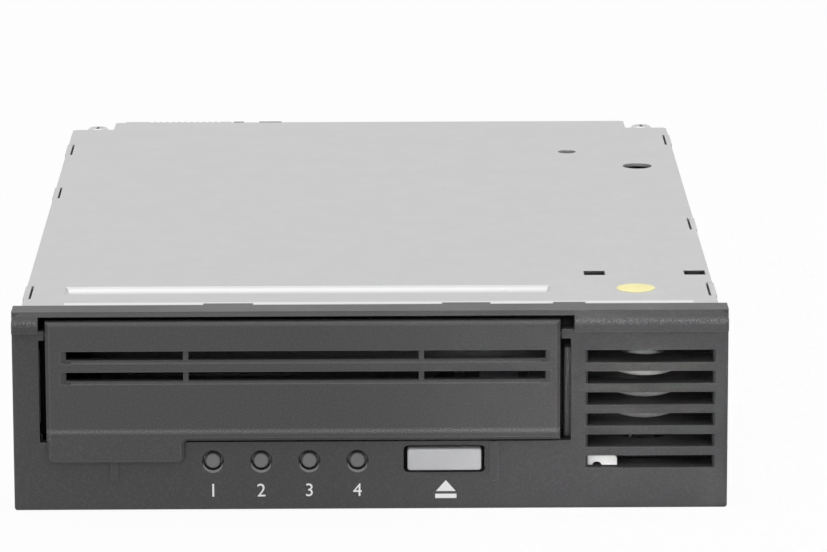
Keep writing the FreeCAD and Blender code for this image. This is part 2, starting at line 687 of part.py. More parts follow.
def gear(x, y, z0, z1, teeth, module, bore_r, turn=0.0):
    """A spur gear with straight-flanked teeth; a tooth points along turn, in degrees."""
    pitch_r = module * teeth / 2
    tip_r = pitch_r + module
    root_r = pitch_r - DEDENDUM * module
    half_pitch = (math.pi * module / 2 - MESH_PLAY) / 2 / pitch_r
    half_tip = half_pitch * TOOTH_TIP * pitch_r / tip_r
    half_root = half_pitch * TOOTH_ROOT * pitch_r / root_r
    points = []
    for i in range(teeth):
        middle = math.radians(turn) + 2 * math.pi * i / teeth
        for radius, angle in ((root_r, -half_root), (tip_r, -half_tip), (tip_r, half_tip), (root_r, half_root)):
            points.append((x + radius * math.cos(middle + angle), y + radius * math.sin(middle + angle)))
    return cut(outline_xy(points, z0, z1), rod(x, y, z0 - THROUGH, bore_r, z1 - z0 + 2 * THROUGH))


# ---- chassis ----------------------------------------------------------------

def notch_spans(side):
    """The Y spans of the cover's edge notches on one side."""
    return [(y - NOTCH_L / 2, y + NOTCH_L / 2) for y in NOTCH_CENTRES[side]]


def mount_hole_ys():
    return (MOUNT_FIRST_Y, MOUNT_FIRST_Y + MOUNT_PITCH_Y)


def base_chassis():
    """Folded sheet tray: floor, side walls, rear wall, front ears, posts and ledges."""
    outer = block(-HALF_W, HALF_W, FLOOR_FRONT, CHASSIS_REAR, 0, WALL_TOP)
    inner = block(-INNER_X, INNER_X, FLOOR_FRONT - THROUGH, CHASSIS_REAR - WALL_T, FLOOR_T, WALL_TOP + THROUGH)
    tray = cut(outer, inner)
    added = []
    removed = []
    for side in (-1, 1):
        wall = sorted((side * INNER_X, side * HALF_W))
        added.append(block(wall[0], wall[1], EAR_FRONT, FLOOR_FRONT + WALL_T, EAR_Z[0], EAR_Z[1]))
        added.append(block(wall[0], wall[1], COVER_FRONT, FLOOR_FRONT + WALL_T, EAR_Z[1] - WALL_T, WALL_TOP))
        removed.append(block(wall[0] - THROUGH, wall[1] + THROUGH, HOOK_Y[0] - HOOK_WINDOW_GAP, HOOK_Y[1] + HOOK_WINDOW_GAP,
                             HOOK_Z[0] - HOOK_WINDOW_GAP, HOOK_Z[1] + HOOK_WINDOW_GAP))
        for y0, y1 in notch_spans(side):
            added.append(block(wall[0], wall[1], y0 + SEAT_GAP, y1 - SEAT_GAP, WALL_TOP - WALL_T, COVER_TOP))
        for y in mount_hole_ys():
            for z in SIDE_HOLE_Z:
                removed.append(rod(wall[0] - THROUGH, y, z, MOUNT_HOLE_R, WALL_T + 2 * THROUGH, X_AXIS))
            removed.append(rod(side * BOTTOM_PITCH_X / 2, y, -THROUGH, MOUNT_HOLE_R, FLOOR_T + 2 * THROUGH))
        corner = sorted((side * (SHOULDER_X + SEAT_GAP), side * (HALF_W + THROUGH)))
        removed.append(block(corner[0], corner[1], SHOULDER_REAR - COVER_SHEET - SEAT_GAP, CHASSIS_REAR + THROUGH,
                             LEDGE_TOP, WALL_TOP + THROUGH))
        ledge = sorted((side * (SHOULDER_X + SEAT_GAP), side * HALF_W))
        added.append(block(ledge[0], ledge[1], LEDGE_FRONT, CHASSIS_REAR, LEDGE_TOP - LEDGE_T, LEDGE_TOP))
        removed.append(rod(side * COVER_SCREW_X, COVER_SCREW_Y, LEDGE_TOP - 2 * LEDGE_T, M3_R + RUN_FIT,
                           3 * LEDGE_T))
    for x, y in BOARD_FIXINGS:
        added.append(rod(x, y, FLOOR_T, STANDOFF_R, BOARD_Z - FLOOR_T))
        removed.append(rod(x, y, -THROUGH, M2_R + RUN_FIT, BOARD_Z + 2 * THROUGH))
    for x, y in DECK_FIXINGS:
        if y > DECK_STEP_Y:
            added.append(rod(x, y, FLOOR_T, ISOLATOR_R, DECK_HIGH_Z - DECK_T - FLOOR_T))
        removed.append(rod(x, y, -THROUGH, M3_R + RUN_FIT, DECK_HIGH_TOP))
    removed += rear_wall_openings() + wall_vents()
    return cut(join(tray, *added), *removed)


def rear_wall_openings():
    """Cut-outs in the rear wall for the connectors and the jumper block."""
    y0 = CHASSIS_REAR - WALL_T - THROUGH
    y1 = CHASSIS_REAR + THROUGH
    port = block(PORT_X - PORT_W / 2 - CUT_GAP, PORT_X + PORT_W / 2 + CUT_GAP, y0, y1,
                 BOARD_TOP - CUT_GAP, BOARD_TOP + PORT_H + CUT_GAP)
    power = block(POWER_X - POWER_W / 2 - CUT_GAP, POWER_X + POWER_W / 2 + CUT_GAP, y0, y1,
                  BOARD_TOP - CUT_GAP, BOARD_TOP + POWER_H + CUT_GAP)
    jumper = block(JUMPER_X[0] - CUT_GAP, JUMPER_X[1] + CUT_GAP, y0, y1,
                   JUMPER_Z[0] - CUT_GAP, JUMPER_Z[1] + CUT_GAP)
    return [port, power, jumper]


def wall_vents():
    """Air outlets: rows of upright slots in the rear wall and in both side walls."""
    slots = []
    for i in range(REAR_VENTS):
        x = REAR_VENT_X + VENT_PITCH * i
        slots.append(block(x, x + VENT_W, CHASSIS_REAR - WALL_T - THROUGH, CHASSIS_REAR + THROUGH,
                           REAR_VENT_Z[0], REAR_VENT_Z[1]))
    for i in range(SIDE_VENTS):
        y = SIDE_VENT_Y + VENT_PITCH * i
        for side in (-1, 1):
            slots.append(block(side * HALF_W - 2 * WALL_T, side * HALF_W + 2 * WALL_T, y, y + VENT_W,
                               SIDE_VENT_Z[0], SIDE_VENT_Z[1]))
    return slots


def top_cover():
    """Flat lid with a pressed bead, front flange, edge notches, side tabs and screwed ears."""
    half = COVER_W / 2
    z0 = WALL_TOP
    mid = SHOULDER_X
    points = [(-half, COVER_FRONT), (half, COVER_FRONT), (half, SHOULDER_REAR), (mid, SHOULDER_REAR),
              (mid, COVER_REAR), (-mid, COVER_REAR), (-mid, SHOULDER_REAR), (-half, SHOULDER_REAR)]
    plate = outline_xy(points, z0, COVER_TOP)
    plate = rounded(plate, SHOULDER_R, Z_AXIS, lambda m: m.y > COVER_REAR - 0.1 or (m.y > DECK_STEP_Y and abs(m.x) > mid + 0.1))
    added = [block(FRONT_BEND_X[0], FRONT_BEND_X[1], COVER_FRONT, COVER_FRONT + COVER_SHEET,
                   COVER_TOP - COVER_FLANGE_H, COVER_TOP)]
    added.append(block(REAR_FLANGE_IN - mid, mid - REAR_FLANGE_IN, COVER_REAR - COVER_SHEET, COVER_REAR,
                       COVER_TOP - COVER_FLANGE_H, COVER_TOP))
    removed = []
    for side in (-1, 1):
        for y0, y1 in notch_spans(side):
            edge = sorted((side * (half - NOTCH_DEPTH), side * (half + THROUGH)))
            removed.append(block(edge[0], edge[1], y0, y1, z0 - THROUGH, COVER_TOP + THROUGH))
            tab = sorted((side * (half - NOTCH_DEPTH - COVER_SHEET), side * (half - NOTCH_DEPTH)))
            added.append(block(tab[0], tab[1], y0 + TAB_END, y1 - TAB_END, z0 - TAB_DROP, z0 + COVER_SHEET / 2))
        ear = sorted((side * (mid + 2 * SEAT_GAP), side * (INNER_X - 2 * SEAT_GAP)))
        added.append(block(ear[0], ear[1], SHOULDER_REAR - COVER_SHEET, SHOULDER_REAR, LEDGE_TOP, WALL_TOP + COVER_SHEET / 2))
        added.append(block(ear[0], ear[1], SHOULDER_REAR - COVER_SHEET, CHASSIS_REAR - SEAT_GAP,
                           LEDGE_TOP, LEDGE_TOP + COVER_SHEET))
        removed.append(rod(side * COVER_SCREW_X, COVER_SCREW_Y, LEDGE_TOP - THROUGH, M3_R + RUN_FIT,
                           COVER_SHEET + 2 * THROUGH))
    added.append(bead(z0))
    removed.append(bead(COVER_TOP))
    for x, y, radius in ADJUST_HOLES:
        removed.append(rod(x, y, z0 - THROUGH, radius, COVER_SHEET + 2 * THROUGH))
    for x in COVER_SLOTS_X:
        removed.append(block(x, x + COVER_SLOT_W, COVER_SLOT_Y[0], COVER_SLOT_Y[1], z0 - THROUGH, COVER_TOP + THROUGH))
    x0, x1 = FRONT_BEND_X
    centre = (COVER_FRONT + COVER_BEND_R, COVER_TOP - COVER_BEND_R)
    length = x1 - x0 + 2 * THROUGH
    inside = block(x0, x1, COVER_FRONT + COVER_SHEET / 2, centre[0], centre[1], COVER_TOP - COVER_SHEET / 2)
    added.append(cut(inside, rod(x0 - THROUGH, centre[0], centre[1], COVER_BEND_R - COVER_SHEET, length, X_AXIS)))
    corner = block(x0, x1, COVER_FRONT - THROUGH, centre[0], centre[1], COVER_TOP + THROUGH)
    removed.append(cut(corner, rod(x0 - THROUGH, centre[0], centre[1], COVER_BEND_R, length, X_AXIS)))
    return cut(join(plate, *added), *removed)


def bead(z):
    """The pressed bead's round hollow below a level, with slanted ends."""
    half = (BEAD_Y[1] - BEAD_Y[0]) / 2
    middle = (BEAD_Y[0] + BEAD_Y[1]) / 2
    radius = (half * half + BEAD_DEPTH * BEAD_DEPTH) / (2 * BEAD_DEPTH)
    top = (BEAD_X[0], BEAD_X[1], BEAD_Y[0] - THROUGH, BEAD_Y[1] + THROUGH)
    foot = (BEAD_X[0] + BEAD_SLOPE, BEAD_X[1] - BEAD_SLOPE, top[2], top[3])
    ends = loft_rects(top, z, foot, z - BEAD_DEPTH - SEAT_GAP)
    return ends.common(rod(BEAD_X[0], middle, z - BEAD_DEPTH + radius, radius, BEAD_X[1] - BEAD_X[0], X_AXIS))


def cover_screws():
    """Two pan heads at the rear corners."""
    seat = LEDGE_TOP + COVER_SHEET
    return group(screw(side * COVER_SCREW_X, COVER_SCREW_Y, seat, M3_R, COVER_SHEET + LEDGE_T + COVER_SCREW_POINT,
                       M3_HEAD_R, M3_HEAD_H) for side in (-1, 1))


def inspection_dot():
    """Round paper dot stuck on the cover."""
    return rod(DOT_X, DOT_Y, COVER_TOP, DOT_R, DOT_T)


# ---- bezel ------------------------------------------------------------------

def brow():
    """Full-width rounded moulding along the top of the front face."""
    bar = block(-BEZEL_W / 2, BEZEL_W / 2, -BROW_PROUD, BEZEL_FRONT, BROW_Z, BEZEL_H)
    bar = rounded(bar, BEZEL_EDGE_R, Z_AXIS, lambda m: m.y < 0)
    return rounded(bar, BROW_R, X_AXIS, lambda m: m.y < 0 and m.z > BEZEL_H - 0.1)


def louvre_slats():
    """Slats between the air slots; each leans up, thins to the rear and is shallower in its middle."""
    slats = []
    for i in range(LOUVRE_COUNT - 1):
        top = LOUVRE_BOTTOM + LOUVRE_PITCH * (i + 1)
        bottom = top - (LOUVRE_PITCH - LOUVRE_SLOT_H)
        rear_top = top + LOUVRE_RISE
        section = [(0, bottom), (0, top), (LOUVRE_D, rear_top), (LOUVRE_D, rear_top - SLAT_REAR_T)]
        slats.append(outline_yz(section, LOUVRE_X[0] - LOUVRE_FRAME_T / 2, LOUVRE_X[1] + LOUVRE_FRAME_T / 2))
    sill = [(0, LOUVRE_BOTTOM - LOUVRE_FRAME_T), (0, LOUVRE_BOTTOM), (LOUVRE_D, LOUVRE_BOTTOM + LOUVRE_RISE),
            (LOUVRE_D, LOUVRE_BOTTOM - LOUVRE_FRAME_T)]
    slats = [cut(slat, louvre_arc()) for slat in slats]
    slats.append(outline_yz(sill, LOUVRE_X[0] - LOUVRE_FRAME_T / 2, LOUVRE_X[1] + LOUVRE_FRAME_T / 2))
    return slats


def louvre_arc():
    """The round hollow behind the slats, in front of the fan."""
    half = LOUVRE_W / 2
    radius = (half * half + LOUVRE_ARC * LOUVRE_ARC) / (2 * LOUVRE_ARC)
    return rod(sum(LOUVRE_X) / 2, LOUVRE_D - LOUVRE_ARC + radius, LOUVRE_BOTTOM, radius, LOUVRE_TOP - LOUVRE_BOTTOM)


def louvre_bevels():
    """Slanted ends of the air slots in the front face."""
    wedges = []
    for i in range(LOUVRE_COUNT):
        z0 = LOUVRE_BOTTOM + LOUVRE_PITCH * i
        z1 = z0 + LOUVRE_SLOT_H
        for x, out in ((LOUVRE_X[0], -1), (LOUVRE_X[1], 1)):
            points = [(x - out * THROUGH, -THROUGH), (x + out * LOUVRE_BEVEL, -THROUGH), (x + out * LOUVRE_BEVEL, 0),
                      (x, LOUVRE_BEVEL), (x - out * THROUGH, LOUVRE_BEVEL)]
            wedges.append(outline_xy(points, z0, z1))
    return wedges


def bezel():
    """Front moulding: hollow frame, brow, door aperture, louvres, light holes, ribs and hooks."""
    half = BEZEL_W / 2
    shell = block(-half, half, 0, BEZEL_D, 0, BEZEL_H)
    shell = rounded(shell, BEZEL_EDGE_R, Z_AXIS, lambda m: m.y < 0.1)
    shell = rounded(shell, BEZEL_EDGE_R, X_AXIS, lambda m: m.y < 0.1 and m.z < 0.1)
    hollow = block(-half + BEZEL_SIDE, half - BEZEL_SIDE, BEZEL_FRONT, BEZEL_D + THROUGH,
                   BEZEL_RIM, BEZEL_H - BEZEL_RIM)
    frame = block(LOUVRE_X[0] - LOUVRE_FRAME_T, LOUVRE_X[1] + LOUVRE_FRAME_T, BEZEL_FRONT / 2, LOUVRE_D,
                  LOUVRE_BOTTOM - LOUVRE_FRAME_T, LOUVRE_TOP + LOUVRE_FRAME_T)
    partition = block(APERTURE_TOP_X1 + SEAT_GAP, APERTURE_TOP_X1 + SEAT_GAP + BEZEL_SIDE, BEZEL_FRONT / 2,
                      BEZEL_D, BEZEL_RIM / 2, BEZEL_H - BEZEL_RIM / 2)
    added = [brow(), frame, partition]
    window = block(LOUVRE_X[0], LOUVRE_X[1], -THROUGH, LOUVRE_D + THROUGH, LOUVRE_BOTTOM, LOUVRE_TOP)
    step = block(-half - THROUGH, half + THROUGH, BEZEL_TOP_D, BEZEL_D + THROUGH, BROW_Z - SEAT_GAP, BEZEL_H + THROUGH)
    body = cut(join(cut(shell, hollow), *added), window, step, *louvre_bevels())
    return cut(join(body, *(louvre_slats() + bezel_details())), *bezel_openings())


def bezel_details():
    """Ribs under the door, tongues over the cover, side hooks, board posts and hinge ears."""
    half = BEZEL_W / 2
    details = []
    for side in (-1, 1):
        x = CART_X + side * FINGER_RIB_HALF
        rib = block(x - FINGER_RIB_W / 2, x + FINGER_RIB_W / 2, -FINGER_RIB_PROUD, BEZEL_FRONT / 2,
                    FINGER_RIB_Z0, SILL_Z)
        rib = rounded(rib, FINGER_RIB_W / 2 - 0.05, Y_AXIS, lambda m: m.z < FINGER_RIB_Z0 + 0.1)
        details.append(rib)
        wall = sorted((side * (INNER_X + SEAT_GAP), side * (half - BEZEL_SIDE / 2)))
        details.append(block(wall[0], wall[1], HOOK_Y[0], HOOK_Y[1], HOOK_Z[0], HOOK_Z[1]))
    for x0, x1 in TONGUES_X:
        details.append(block(x0, x1, BEZEL_TOP_D - BEZEL_RIM, BEZEL_TOP_D + TONGUE_REACH, COVER_TOP, BEZEL_H))
    for x in FRONT_POST_X:
        details.append(rod(x, BEZEL_FRONT / 2, FRONT_POST_Z, FRONT_POST_R, FRONT_BOARD_Y - BEZEL_FRONT / 2, Y_AXIS))
    return details


def bezel_openings():
    """Everything cut from the front face after its ribs and slats are on."""
    front = -BROW_PROUD - THROUGH
    rear = BEZEL_FRONT + THROUGH
    lower = block(APERTURE_X[0], APERTURE_X[1], front, rear, SILL_Z, LIP_Z)
    upper = block(APERTURE_X[0], APERTURE_TOP_X1, front, rear, BROW_Z, LIP_Z)
    ear_z = (HINGE_Z - HINGE_EAR_H / 2, HINGE_Z + HINGE_EAR_H / 2)
    ears = [block(APERTURE_X[0] - THROUGH, DOOR_X[0] - SEAT_GAP, 0, BEZEL_FRONT, ear_z[0], ear_z[1]),
            block(DOOR_X[1] + SEAT_GAP, APERTURE_TOP_X1 + THROUGH, 0, BEZEL_FRONT, ear_z[0], ear_z[1])]
    tools = [cut(join(lower, upper), *ears)]
    pin_r = HINGE_PIN_R + RUN_FIT
    for x0, x1 in hinge_pin_spans():
        tools.append(rod(x0, HINGE_Y, HINGE_Z, pin_r, x1 - x0, X_AXIS))
    for x in LED_XS:
        tools.append(rod(x, -THROUGH, LED_Z, LENS_BORE_R, BEZEL_FRONT + 2 * THROUGH, Y_AXIS))
        tools.append(Part.makeCone(LENS_SINK_R, LENS_BORE_R, LENS_SINK_D, V(x, 0, LED_Z), Y_AXIS))
    button = block(BUTTON_WINDOW_X[0], BUTTON_WINDOW_X[1], -THROUGH, rear, BUTTON_WINDOW_Z[0], BUTTON_WINDOW_Z[1])
    tools.append(rounded(button, BUTTON_WINDOW_R, Y_AXIS))
    for x in FRONT_POST_X:
        tools.append(rod(x, BEZEL_FRONT, FRONT_POST_Z, M2_R + RUN_FIT, FRONT_BOARD_Y, Y_AXIS))
    return tools


def hinge_pin_spans():
    """The X spans of the left and right hinge pins."""
    left = (APERTURE_X[0] - HINGE_PIN_IN[0], DOOR_X[0] + KNUCKLE_L + SPRING_L + 4 * SEAT_GAP)
    right = (DOOR_X[1] - KNUCKLE_L, APERTURE_TOP_X1 + HINGE_PIN_IN[1])
    return left, right


def door_hinge_pins():
    """Two steel pins, each from the bezel into a knuckle of the door."""
    return group(rod(x0, HINGE_Y, HINGE_Z, HINGE_PIN_R, x1 - x0, X_AXIS) for x0, x1 in hinge_pin_spans())


# ---- cartridge door ---------------------------------------------------------

def door_outline():
    """The door's front outline: a wide plate with a finger tab at its lower left."""
    face = block(DOOR_X[0], DOOR_X[1], FACE_Y, FACE_Y + DOOR_T, DOOR_BOTTOM, DOOR_TOP)
    tab = block(TAB_X[0], TAB_X[1], FACE_Y, FACE_Y + DOOR_T, TAB_BOTTOM, DOOR_BOTTOM + 1)
    tab = rounded(tab, TAB_CORNER_R, Y_AXIS, lambda m: m.z < TAB_BOTTOM + 0.1)
    plate = join(face, tab)
    plate = rounded(plate, TAB_INNER_R, Y_AXIS,
                    lambda m: abs(m.x - TAB_X[1]) < 0.1 and abs(m.z - DOOR_BOTTOM) < 0.1)
    return plate


def cartridge_door():
    """Outward-opening flap with two slots, end knuckles and stiffening ribs behind."""
    plate = door_outline()
    front = [e for e in plate.Edges if abs(e.CenterOfMass.y - FACE_Y) < 0.01 and e.CenterOfMass.z < DOOR_TOP - 0.1]
    plate = plate.makeChamfer(DOOR_BEVEL, front)
    plate = rounded(plate, DOOR_TOP_R, X_AXIS,
                    lambda m: m.z > DOOR_TOP - 0.1 and m.y < FACE_Y + 0.1)
    back = FACE_Y + DOOR_T
    ends = (DOOR_X[0] - THROUGH, DOOR_X[1] + THROUGH)
    tools = [block(ends[0], ends[1], FACE_Y + TAB_T, back + THROUGH, TAB_BOTTOM - THROUGH, DOOR_BOTTOM)]
    tilt = [(FACE_Y, CREASE_Z), (FACE_Y - THROUGH, CREASE_Z), (FACE_Y - THROUGH, TAB_BOTTOM),
            (FACE_Y + CREASE_TILT, TAB_BOTTOM)]
    tools.append(outline_yz(tilt, ends[0], ends[1]))
    for z0, z1 in DOOR_SLOT_Z:
        tools.append(door_slot(z0, z1))
    added = [door_rib(z) for z in DOOR_RIB_Z]
    for x0 in (DOOR_X[0], DOOR_X[1] - KNUCKLE_L):
        added.append(rod(x0, HINGE_Y, HINGE_Z, KNUCKLE_R, KNUCKLE_L, X_AXIS))
    door = join(cut(plate, *tools), *added)
    pockets = [rod(DOOR_X[0] + KNUCKLE_L, HINGE_Y, HINGE_Z, SPRING_R + SPRING_WIRE_R + SEAT_GAP,
                   SPRING_L + 2 * SEAT_GAP, X_AXIS)]
    for x0, x1 in hinge_pin_spans():
        pockets.append(rod(x0 - THROUGH, HINGE_Y, HINGE_Z, HINGE_PIN_R + RUN_FIT, x1 - x0 + 2 * THROUGH, X_AXIS))
    return cut(door, *pockets)


def door_rib(z):
    """One level rib across the back of the door."""
    back = FACE_Y + DOOR_T
    return block(DOOR_X[0] + DOOR_RIB_IN, DOOR_X[1] - DOOR_RIB_IN, back - DOOR_T / 4, back + DOOR_RIB_D,
                 z - DOOR_RIB_T / 2, z + DOOR_RIB_T / 2)


def door_slot(z0, z1):
    """A long slot with a rising lower lip and slanted ends, less its dividers."""
    back = FACE_Y + DOOR_T
    section = [(FACE_Y - THROUGH, z0), (FACE_Y - THROUGH, z1), (back + THROUGH, z1),
               (back + THROUGH, z0 + DOOR_SLOT_RISE), (FACE_Y + DOOR_SLOT_RISE, z0 + DOOR_SLOT_RISE), (FACE_Y, z0)]
    slot = outline_yz(section, DOOR_SLOT_X[0], DOOR_SLOT_X[1])
    along, into = DOOR_SLOT_BEVEL
    ends = []
    for x, out in ((DOOR_SLOT_X[0], -1), (DOOR_SLOT_X[1], 1)):
        points = [(x - out * THROUGH, FACE_Y - THROUGH), (x + out * along, FACE_Y - THROUGH), (x + out * along, FACE_Y),
                  (x, FACE_Y + into), (x - out * THROUGH, FACE_Y + into)]
        ends.append(outline_xy(points, z0, z1))
    dividers = [block(x - DIVIDER_W / 2, x + DIVIDER_W / 2, FACE_Y + DIVIDER_RECESS, back + 2 * THROUGH,
                      z0 - THROUGH, z1 + THROUGH) for x in DIVIDER_X]
    return cut(join(slot, *ends), *dividers)


def door_spring():
    """Closely wound torsion spring round the left hinge pin."""
    x0 = DOOR_X[0] + KNUCKLE_L + SEAT_GAP
    pitch = (SPRING_L - 2 * SPRING_WIRE_R) / SPRING_TURNS
    helix = Part.makeHelix(pitch, pitch * SPRING_TURNS, SPRING_R)
    corners = []
    for i in range(SPRING_WIRE_SIDES + 1):
        angle = 2 * math.pi * i / SPRING_WIRE_SIDES
        corners.append(V(SPRING_R + SPRING_WIRE_R * math.cos(angle), 0, SPRING_WIRE_R * math.sin(angle)))
    coil = Part.Wire(helix).makePipeShell([Part.makePolygon(corners)], True, True)
    coil.rotate(V(0, 0, 0), Y_AXIS, 90)
    coil.translate(V(x0 + SPRING_WIRE_R, HINGE_Y, HINGE_Z))
    return coil


# ---- button, lights and front board -----------------------------------------

def eject_button():
    """Oblong key cap with a stem and a flange that keeps it behind the front wall."""
    cap = block(BUTTON_X[0], BUTTON_X[1], -BUTTON_PROUD, BEZEL_FRONT + SEAT_GAP, BUTTON_Z[0], BUTTON_Z[1])
    cap = rounded(cap, BUTTON_R, Y_AXIS)
    front = [e for e in cap.Edges if abs(e.CenterOfMass.y + BUTTON_PROUD) < 0.01]
    cap = cap.makeFillet(BUTTON_EDGE_R, front)
    flange_y = BEZEL_FRONT + SEAT_GAP
    flange = block(BUTTON_WINDOW_X[0] - BUTTON_FLANGE, BUTTON_WINDOW_X[1] + BUTTON_FLANGE, flange_y,
                   flange_y + BUTTON_FLANGE_T, BUTTON_WINDOW_Z[0] - BUTTON_FLANGE / 2, BUTTON_WINDOW_Z[1])
    middle = sum(BUTTON_X) / 2
    stem_z = sum(BUTTON_Z) / 2
    stem_end = switch_front() - BUTTON_TRAVEL - SEAT_GAP / 2
    stem = rod(middle, flange_y, stem_z, BUTTON_STEM_R, stem_end - flange_y, Y_AXIS)
    return join(cap, flange, stem)


def switch_front():
    """The Y of the eject switch's plunger tip."""
    return FRONT_BOARD_Y - SWITCH_T - PLUNGER_L


def eject_switch():
    """Tactile switch on the front board, behind the button."""
    x = sum(BUTTON_X) / 2
    z = sum(BUTTON_Z) / 2
    half = SWITCH_W / 2
    body = block(x - half, x + half, FRONT_BOARD_Y - SWITCH_T, FRONT_BOARD_Y, z - half, z + half)
    plunger = rod(x, switch_front(), z, PLUNGER_R, SWITCH_T, Y_AXIS)
    return join(body, plunger)


def light_pipes():
    """Four clear lenses, each with a flange against the back of the front wall."""
    pipes = []
    end_y = FRONT_BOARD_Y - LED_CHIP[1] - SEAT_GAP
    for x in LED_XS:
        pipe = rod(x, LENS_RECESS, LED_Z, LENS_R, end_y - LENS_RECESS, Y_AXIS)
        front = [e for e in pipe.Edges if abs(e.CenterOfMass.y - LENS_RECESS) < 0.01]
        pipe = pipe.makeChamfer(LENS_CHAMFER, front)
        pipes.append(join(pipe, rod(x, BEZEL_FRONT, LED_Z, LENS_FLANGE_R, LENS_FLANGE_T, Y_AXIS)))
    return group(pipes)


def status_leds():
    """Four chip lights on the front board."""
    w, t, h = LED_CHIP
    return group(block(x - w / 2, x + w / 2, FRONT_BOARD_Y - t, FRONT_BOARD_Y, LED_Z - h / 2, LED_Z + h / 2)
                 for x in LED_XS)


def front_board():
    """Upright circuit board behind the lower part of the bezel."""
    board = block(FRONT_BOARD_X[0], FRONT_BOARD_X[1], FRONT_BOARD_Y, FRONT_BOARD_REAR,
                  FRONT_BOARD_Z[0], FRONT_BOARD_Z[1])
    holes = [rod(x, FRONT_BOARD_Y - THROUGH, FRONT_POST_Z, M2_R + RUN_FIT, BOARD_T + 2 * THROUGH, Y_AXIS)
             for x in FRONT_POST_X]
    return cut(board, *holes)


def front_board_screws():
    """Two screws that hold the front board to the bezel's posts."""
    screws = []
    for x in FRONT_POST_X:
        one = screw(0, 0, 0, M2_R, FRONT_SCREW_L, M2_HEAD_R, M2_HEAD_H)
        one.rotate(V(0, 0, 0), X_AXIS, -90)
        one.translate(V(x, FRONT_BOARD_REAR, FRONT_POST_Z))
        screws.append(one)
    return group(screws)


def front_cable():
    """Flat cable from the front board, under the deck, to the main board."""
    y0 = FRONT_BOARD_REAR
    y1 = BOARD_Y[0] - 2 * CABLE_T
    end = BOARD_Y[0] + CABLE_LAP
    t = CABLE_T
    path = [(y0, CABLE_TOP), (y0 + t, CABLE_TOP), (y0 + t, CABLE_Z + t), (y1, CABLE_Z + t), (y1, BOARD_TOP + t),
            (end, BOARD_TOP + t), (end, BOARD_TOP), (y1 + t, BOARD_TOP), (y1 + t, CABLE_Z), (y0, CABLE_Z)]
    return outline_yz(path, CABLE_X[0], CABLE_X[1])


# ---- fan --------------------------------------------------------------------

def fan_frame():
    """Moulded fan housing that stands on the floor, with rear struts to the motor seat."""
    x, z = FAN_AXIS_X, FAN_AXIS_Z
    rear = FAN_Y + FAN_D
    body = block(FAN_X[0], FAN_X[1], FAN_Y, rear, FLOOR_T, FAN_TOP)
    body = rounded(body, FAN_CORNER_R, Y_AXIS, lambda m: m.z > FAN_TOP - 0.1)
    body = cut(body, rod(x, FAN_Y - THROUGH, z, FAN_BORE_R, FAN_D + 2 * THROUGH, Y_AXIS))
    body = cut(body, Part.makeCone(FAN_BORE_R + FAN_MOUTH, FAN_BORE_R, FAN_MOUTH, V(x, FAN_Y, z), Y_AXIS))
    seat = rod(x, rear - FAN_STRUT_T, z, FAN_HUB_R, FAN_STRUT_T, Y_AXIS)
    struts = []
    for i in range(FAN_STRUTS):
        bar = block(-FAN_STRUT_W / 2, FAN_STRUT_W / 2, rear - FAN_STRUT_T, rear, FAN_HUB_R - FAN_STRUT_T,
                    FAN_BORE_R + FAN_MOUTH / 2)
        bar.rotate(V(0, 0, 0), Y_AXIS, 360 / FAN_STRUTS * i + FAN_STRUT_TURN)
        bar.translate(V(x, 0, z))
        struts.append(bar)
    shaft = rod(x, FAN_Y + FAN_SHAFT_IN, z, FAN_SHAFT_R, FAN_D - FAN_SHAFT_IN - FAN_STRUT_T / 2, Y_AXIS)
    body = join(body, seat, shaft, *struts)
    holes = [rod(hx, FAN_Y - THROUGH, hz, M2_R + RUN_FIT, FAN_D + 2 * THROUGH, Y_AXIS)
             for hx, hz in fan_screw_places()]
    return cut(body, *holes)


def fan_screw_places():
    """The (x, z) of the housing's two screws, at opposite corners."""
    return ((FAN_X[0] + FAN_SCREW_X_IN, FAN_TOP - FAN_SCREW_Z_IN),
            (FAN_X[1] - FAN_SCREW_X_IN, FLOOR_T + FAN_SCREW_Z_IN))


def fan_screws():
    """Two screws in opposite corners of the fan housing."""
    screws = []
    for x, z in fan_screw_places():
        one = screw(0, 0, 0, M2_R, FAN_D - FAN_SCREW_SHORT, M2_HEAD_R, M2_HEAD_H)
        one.rotate(V(0, 0, 0), X_AXIS, 90)
        one.translate(V(x, FAN_Y, z))
        screws.append(one)
    return group(screws)


def fan_rotor():
    """Domed hub with pitched blades, open behind for the motor."""
    x, z = FAN_AXIS_X, FAN_AXIS_Z
    y0 = FAN_Y + FAN_ROTOR_IN
    depth = FAN_D - FAN_STRUT_T - SEAT_GAP - FAN_ROTOR_IN
    hub = rod(x, y0, z, FAN_HUB_R, depth, Y_AXIS)
    hub = hub.makeFillet(FAN_HUB_EDGE_R, [e for e in hub.Edges if abs(e.CenterOfMass.y - y0) < 0.01])
    blades = []
    reach = FAN_BORE_R - SEAT_GAP
    half_t = FAN_BLADE_T / 2
    lead = -FAN_BLADE_SWEEP / 2
    trail = FAN_BLADE_SWEEP / 2
    start = y0 + 2 * SEAT_GAP
    for i in range(FAN_BLADES):
        section = [(lead - half_t, start), (lead + half_t, start), (trail + half_t, y0 + depth),
                   (trail - half_t, y0 + depth)]
        blade = outline_xy(section, FAN_HUB_R - FAN_BLADE_SWEEP / 2, reach + THROUGH)
        blade = blade.common(rod(0, y0, 0, reach, depth, Y_AXIS))
        blade.rotate(V(0, 0, 0), Y_AXIS, 360 / FAN_BLADES * i)
        blade.translate(V(x, 0, z))
        blades.append(blade)
    rotor = join(hub, *blades)
    bore = rod(x, FAN_Y + FAN_SHAFT_IN - FAN_SHAFT_END_GAP, z, FAN_SHAFT_R + RUN_FIT, FAN_D, Y_AXIS)
    return cut(rotor, bore)


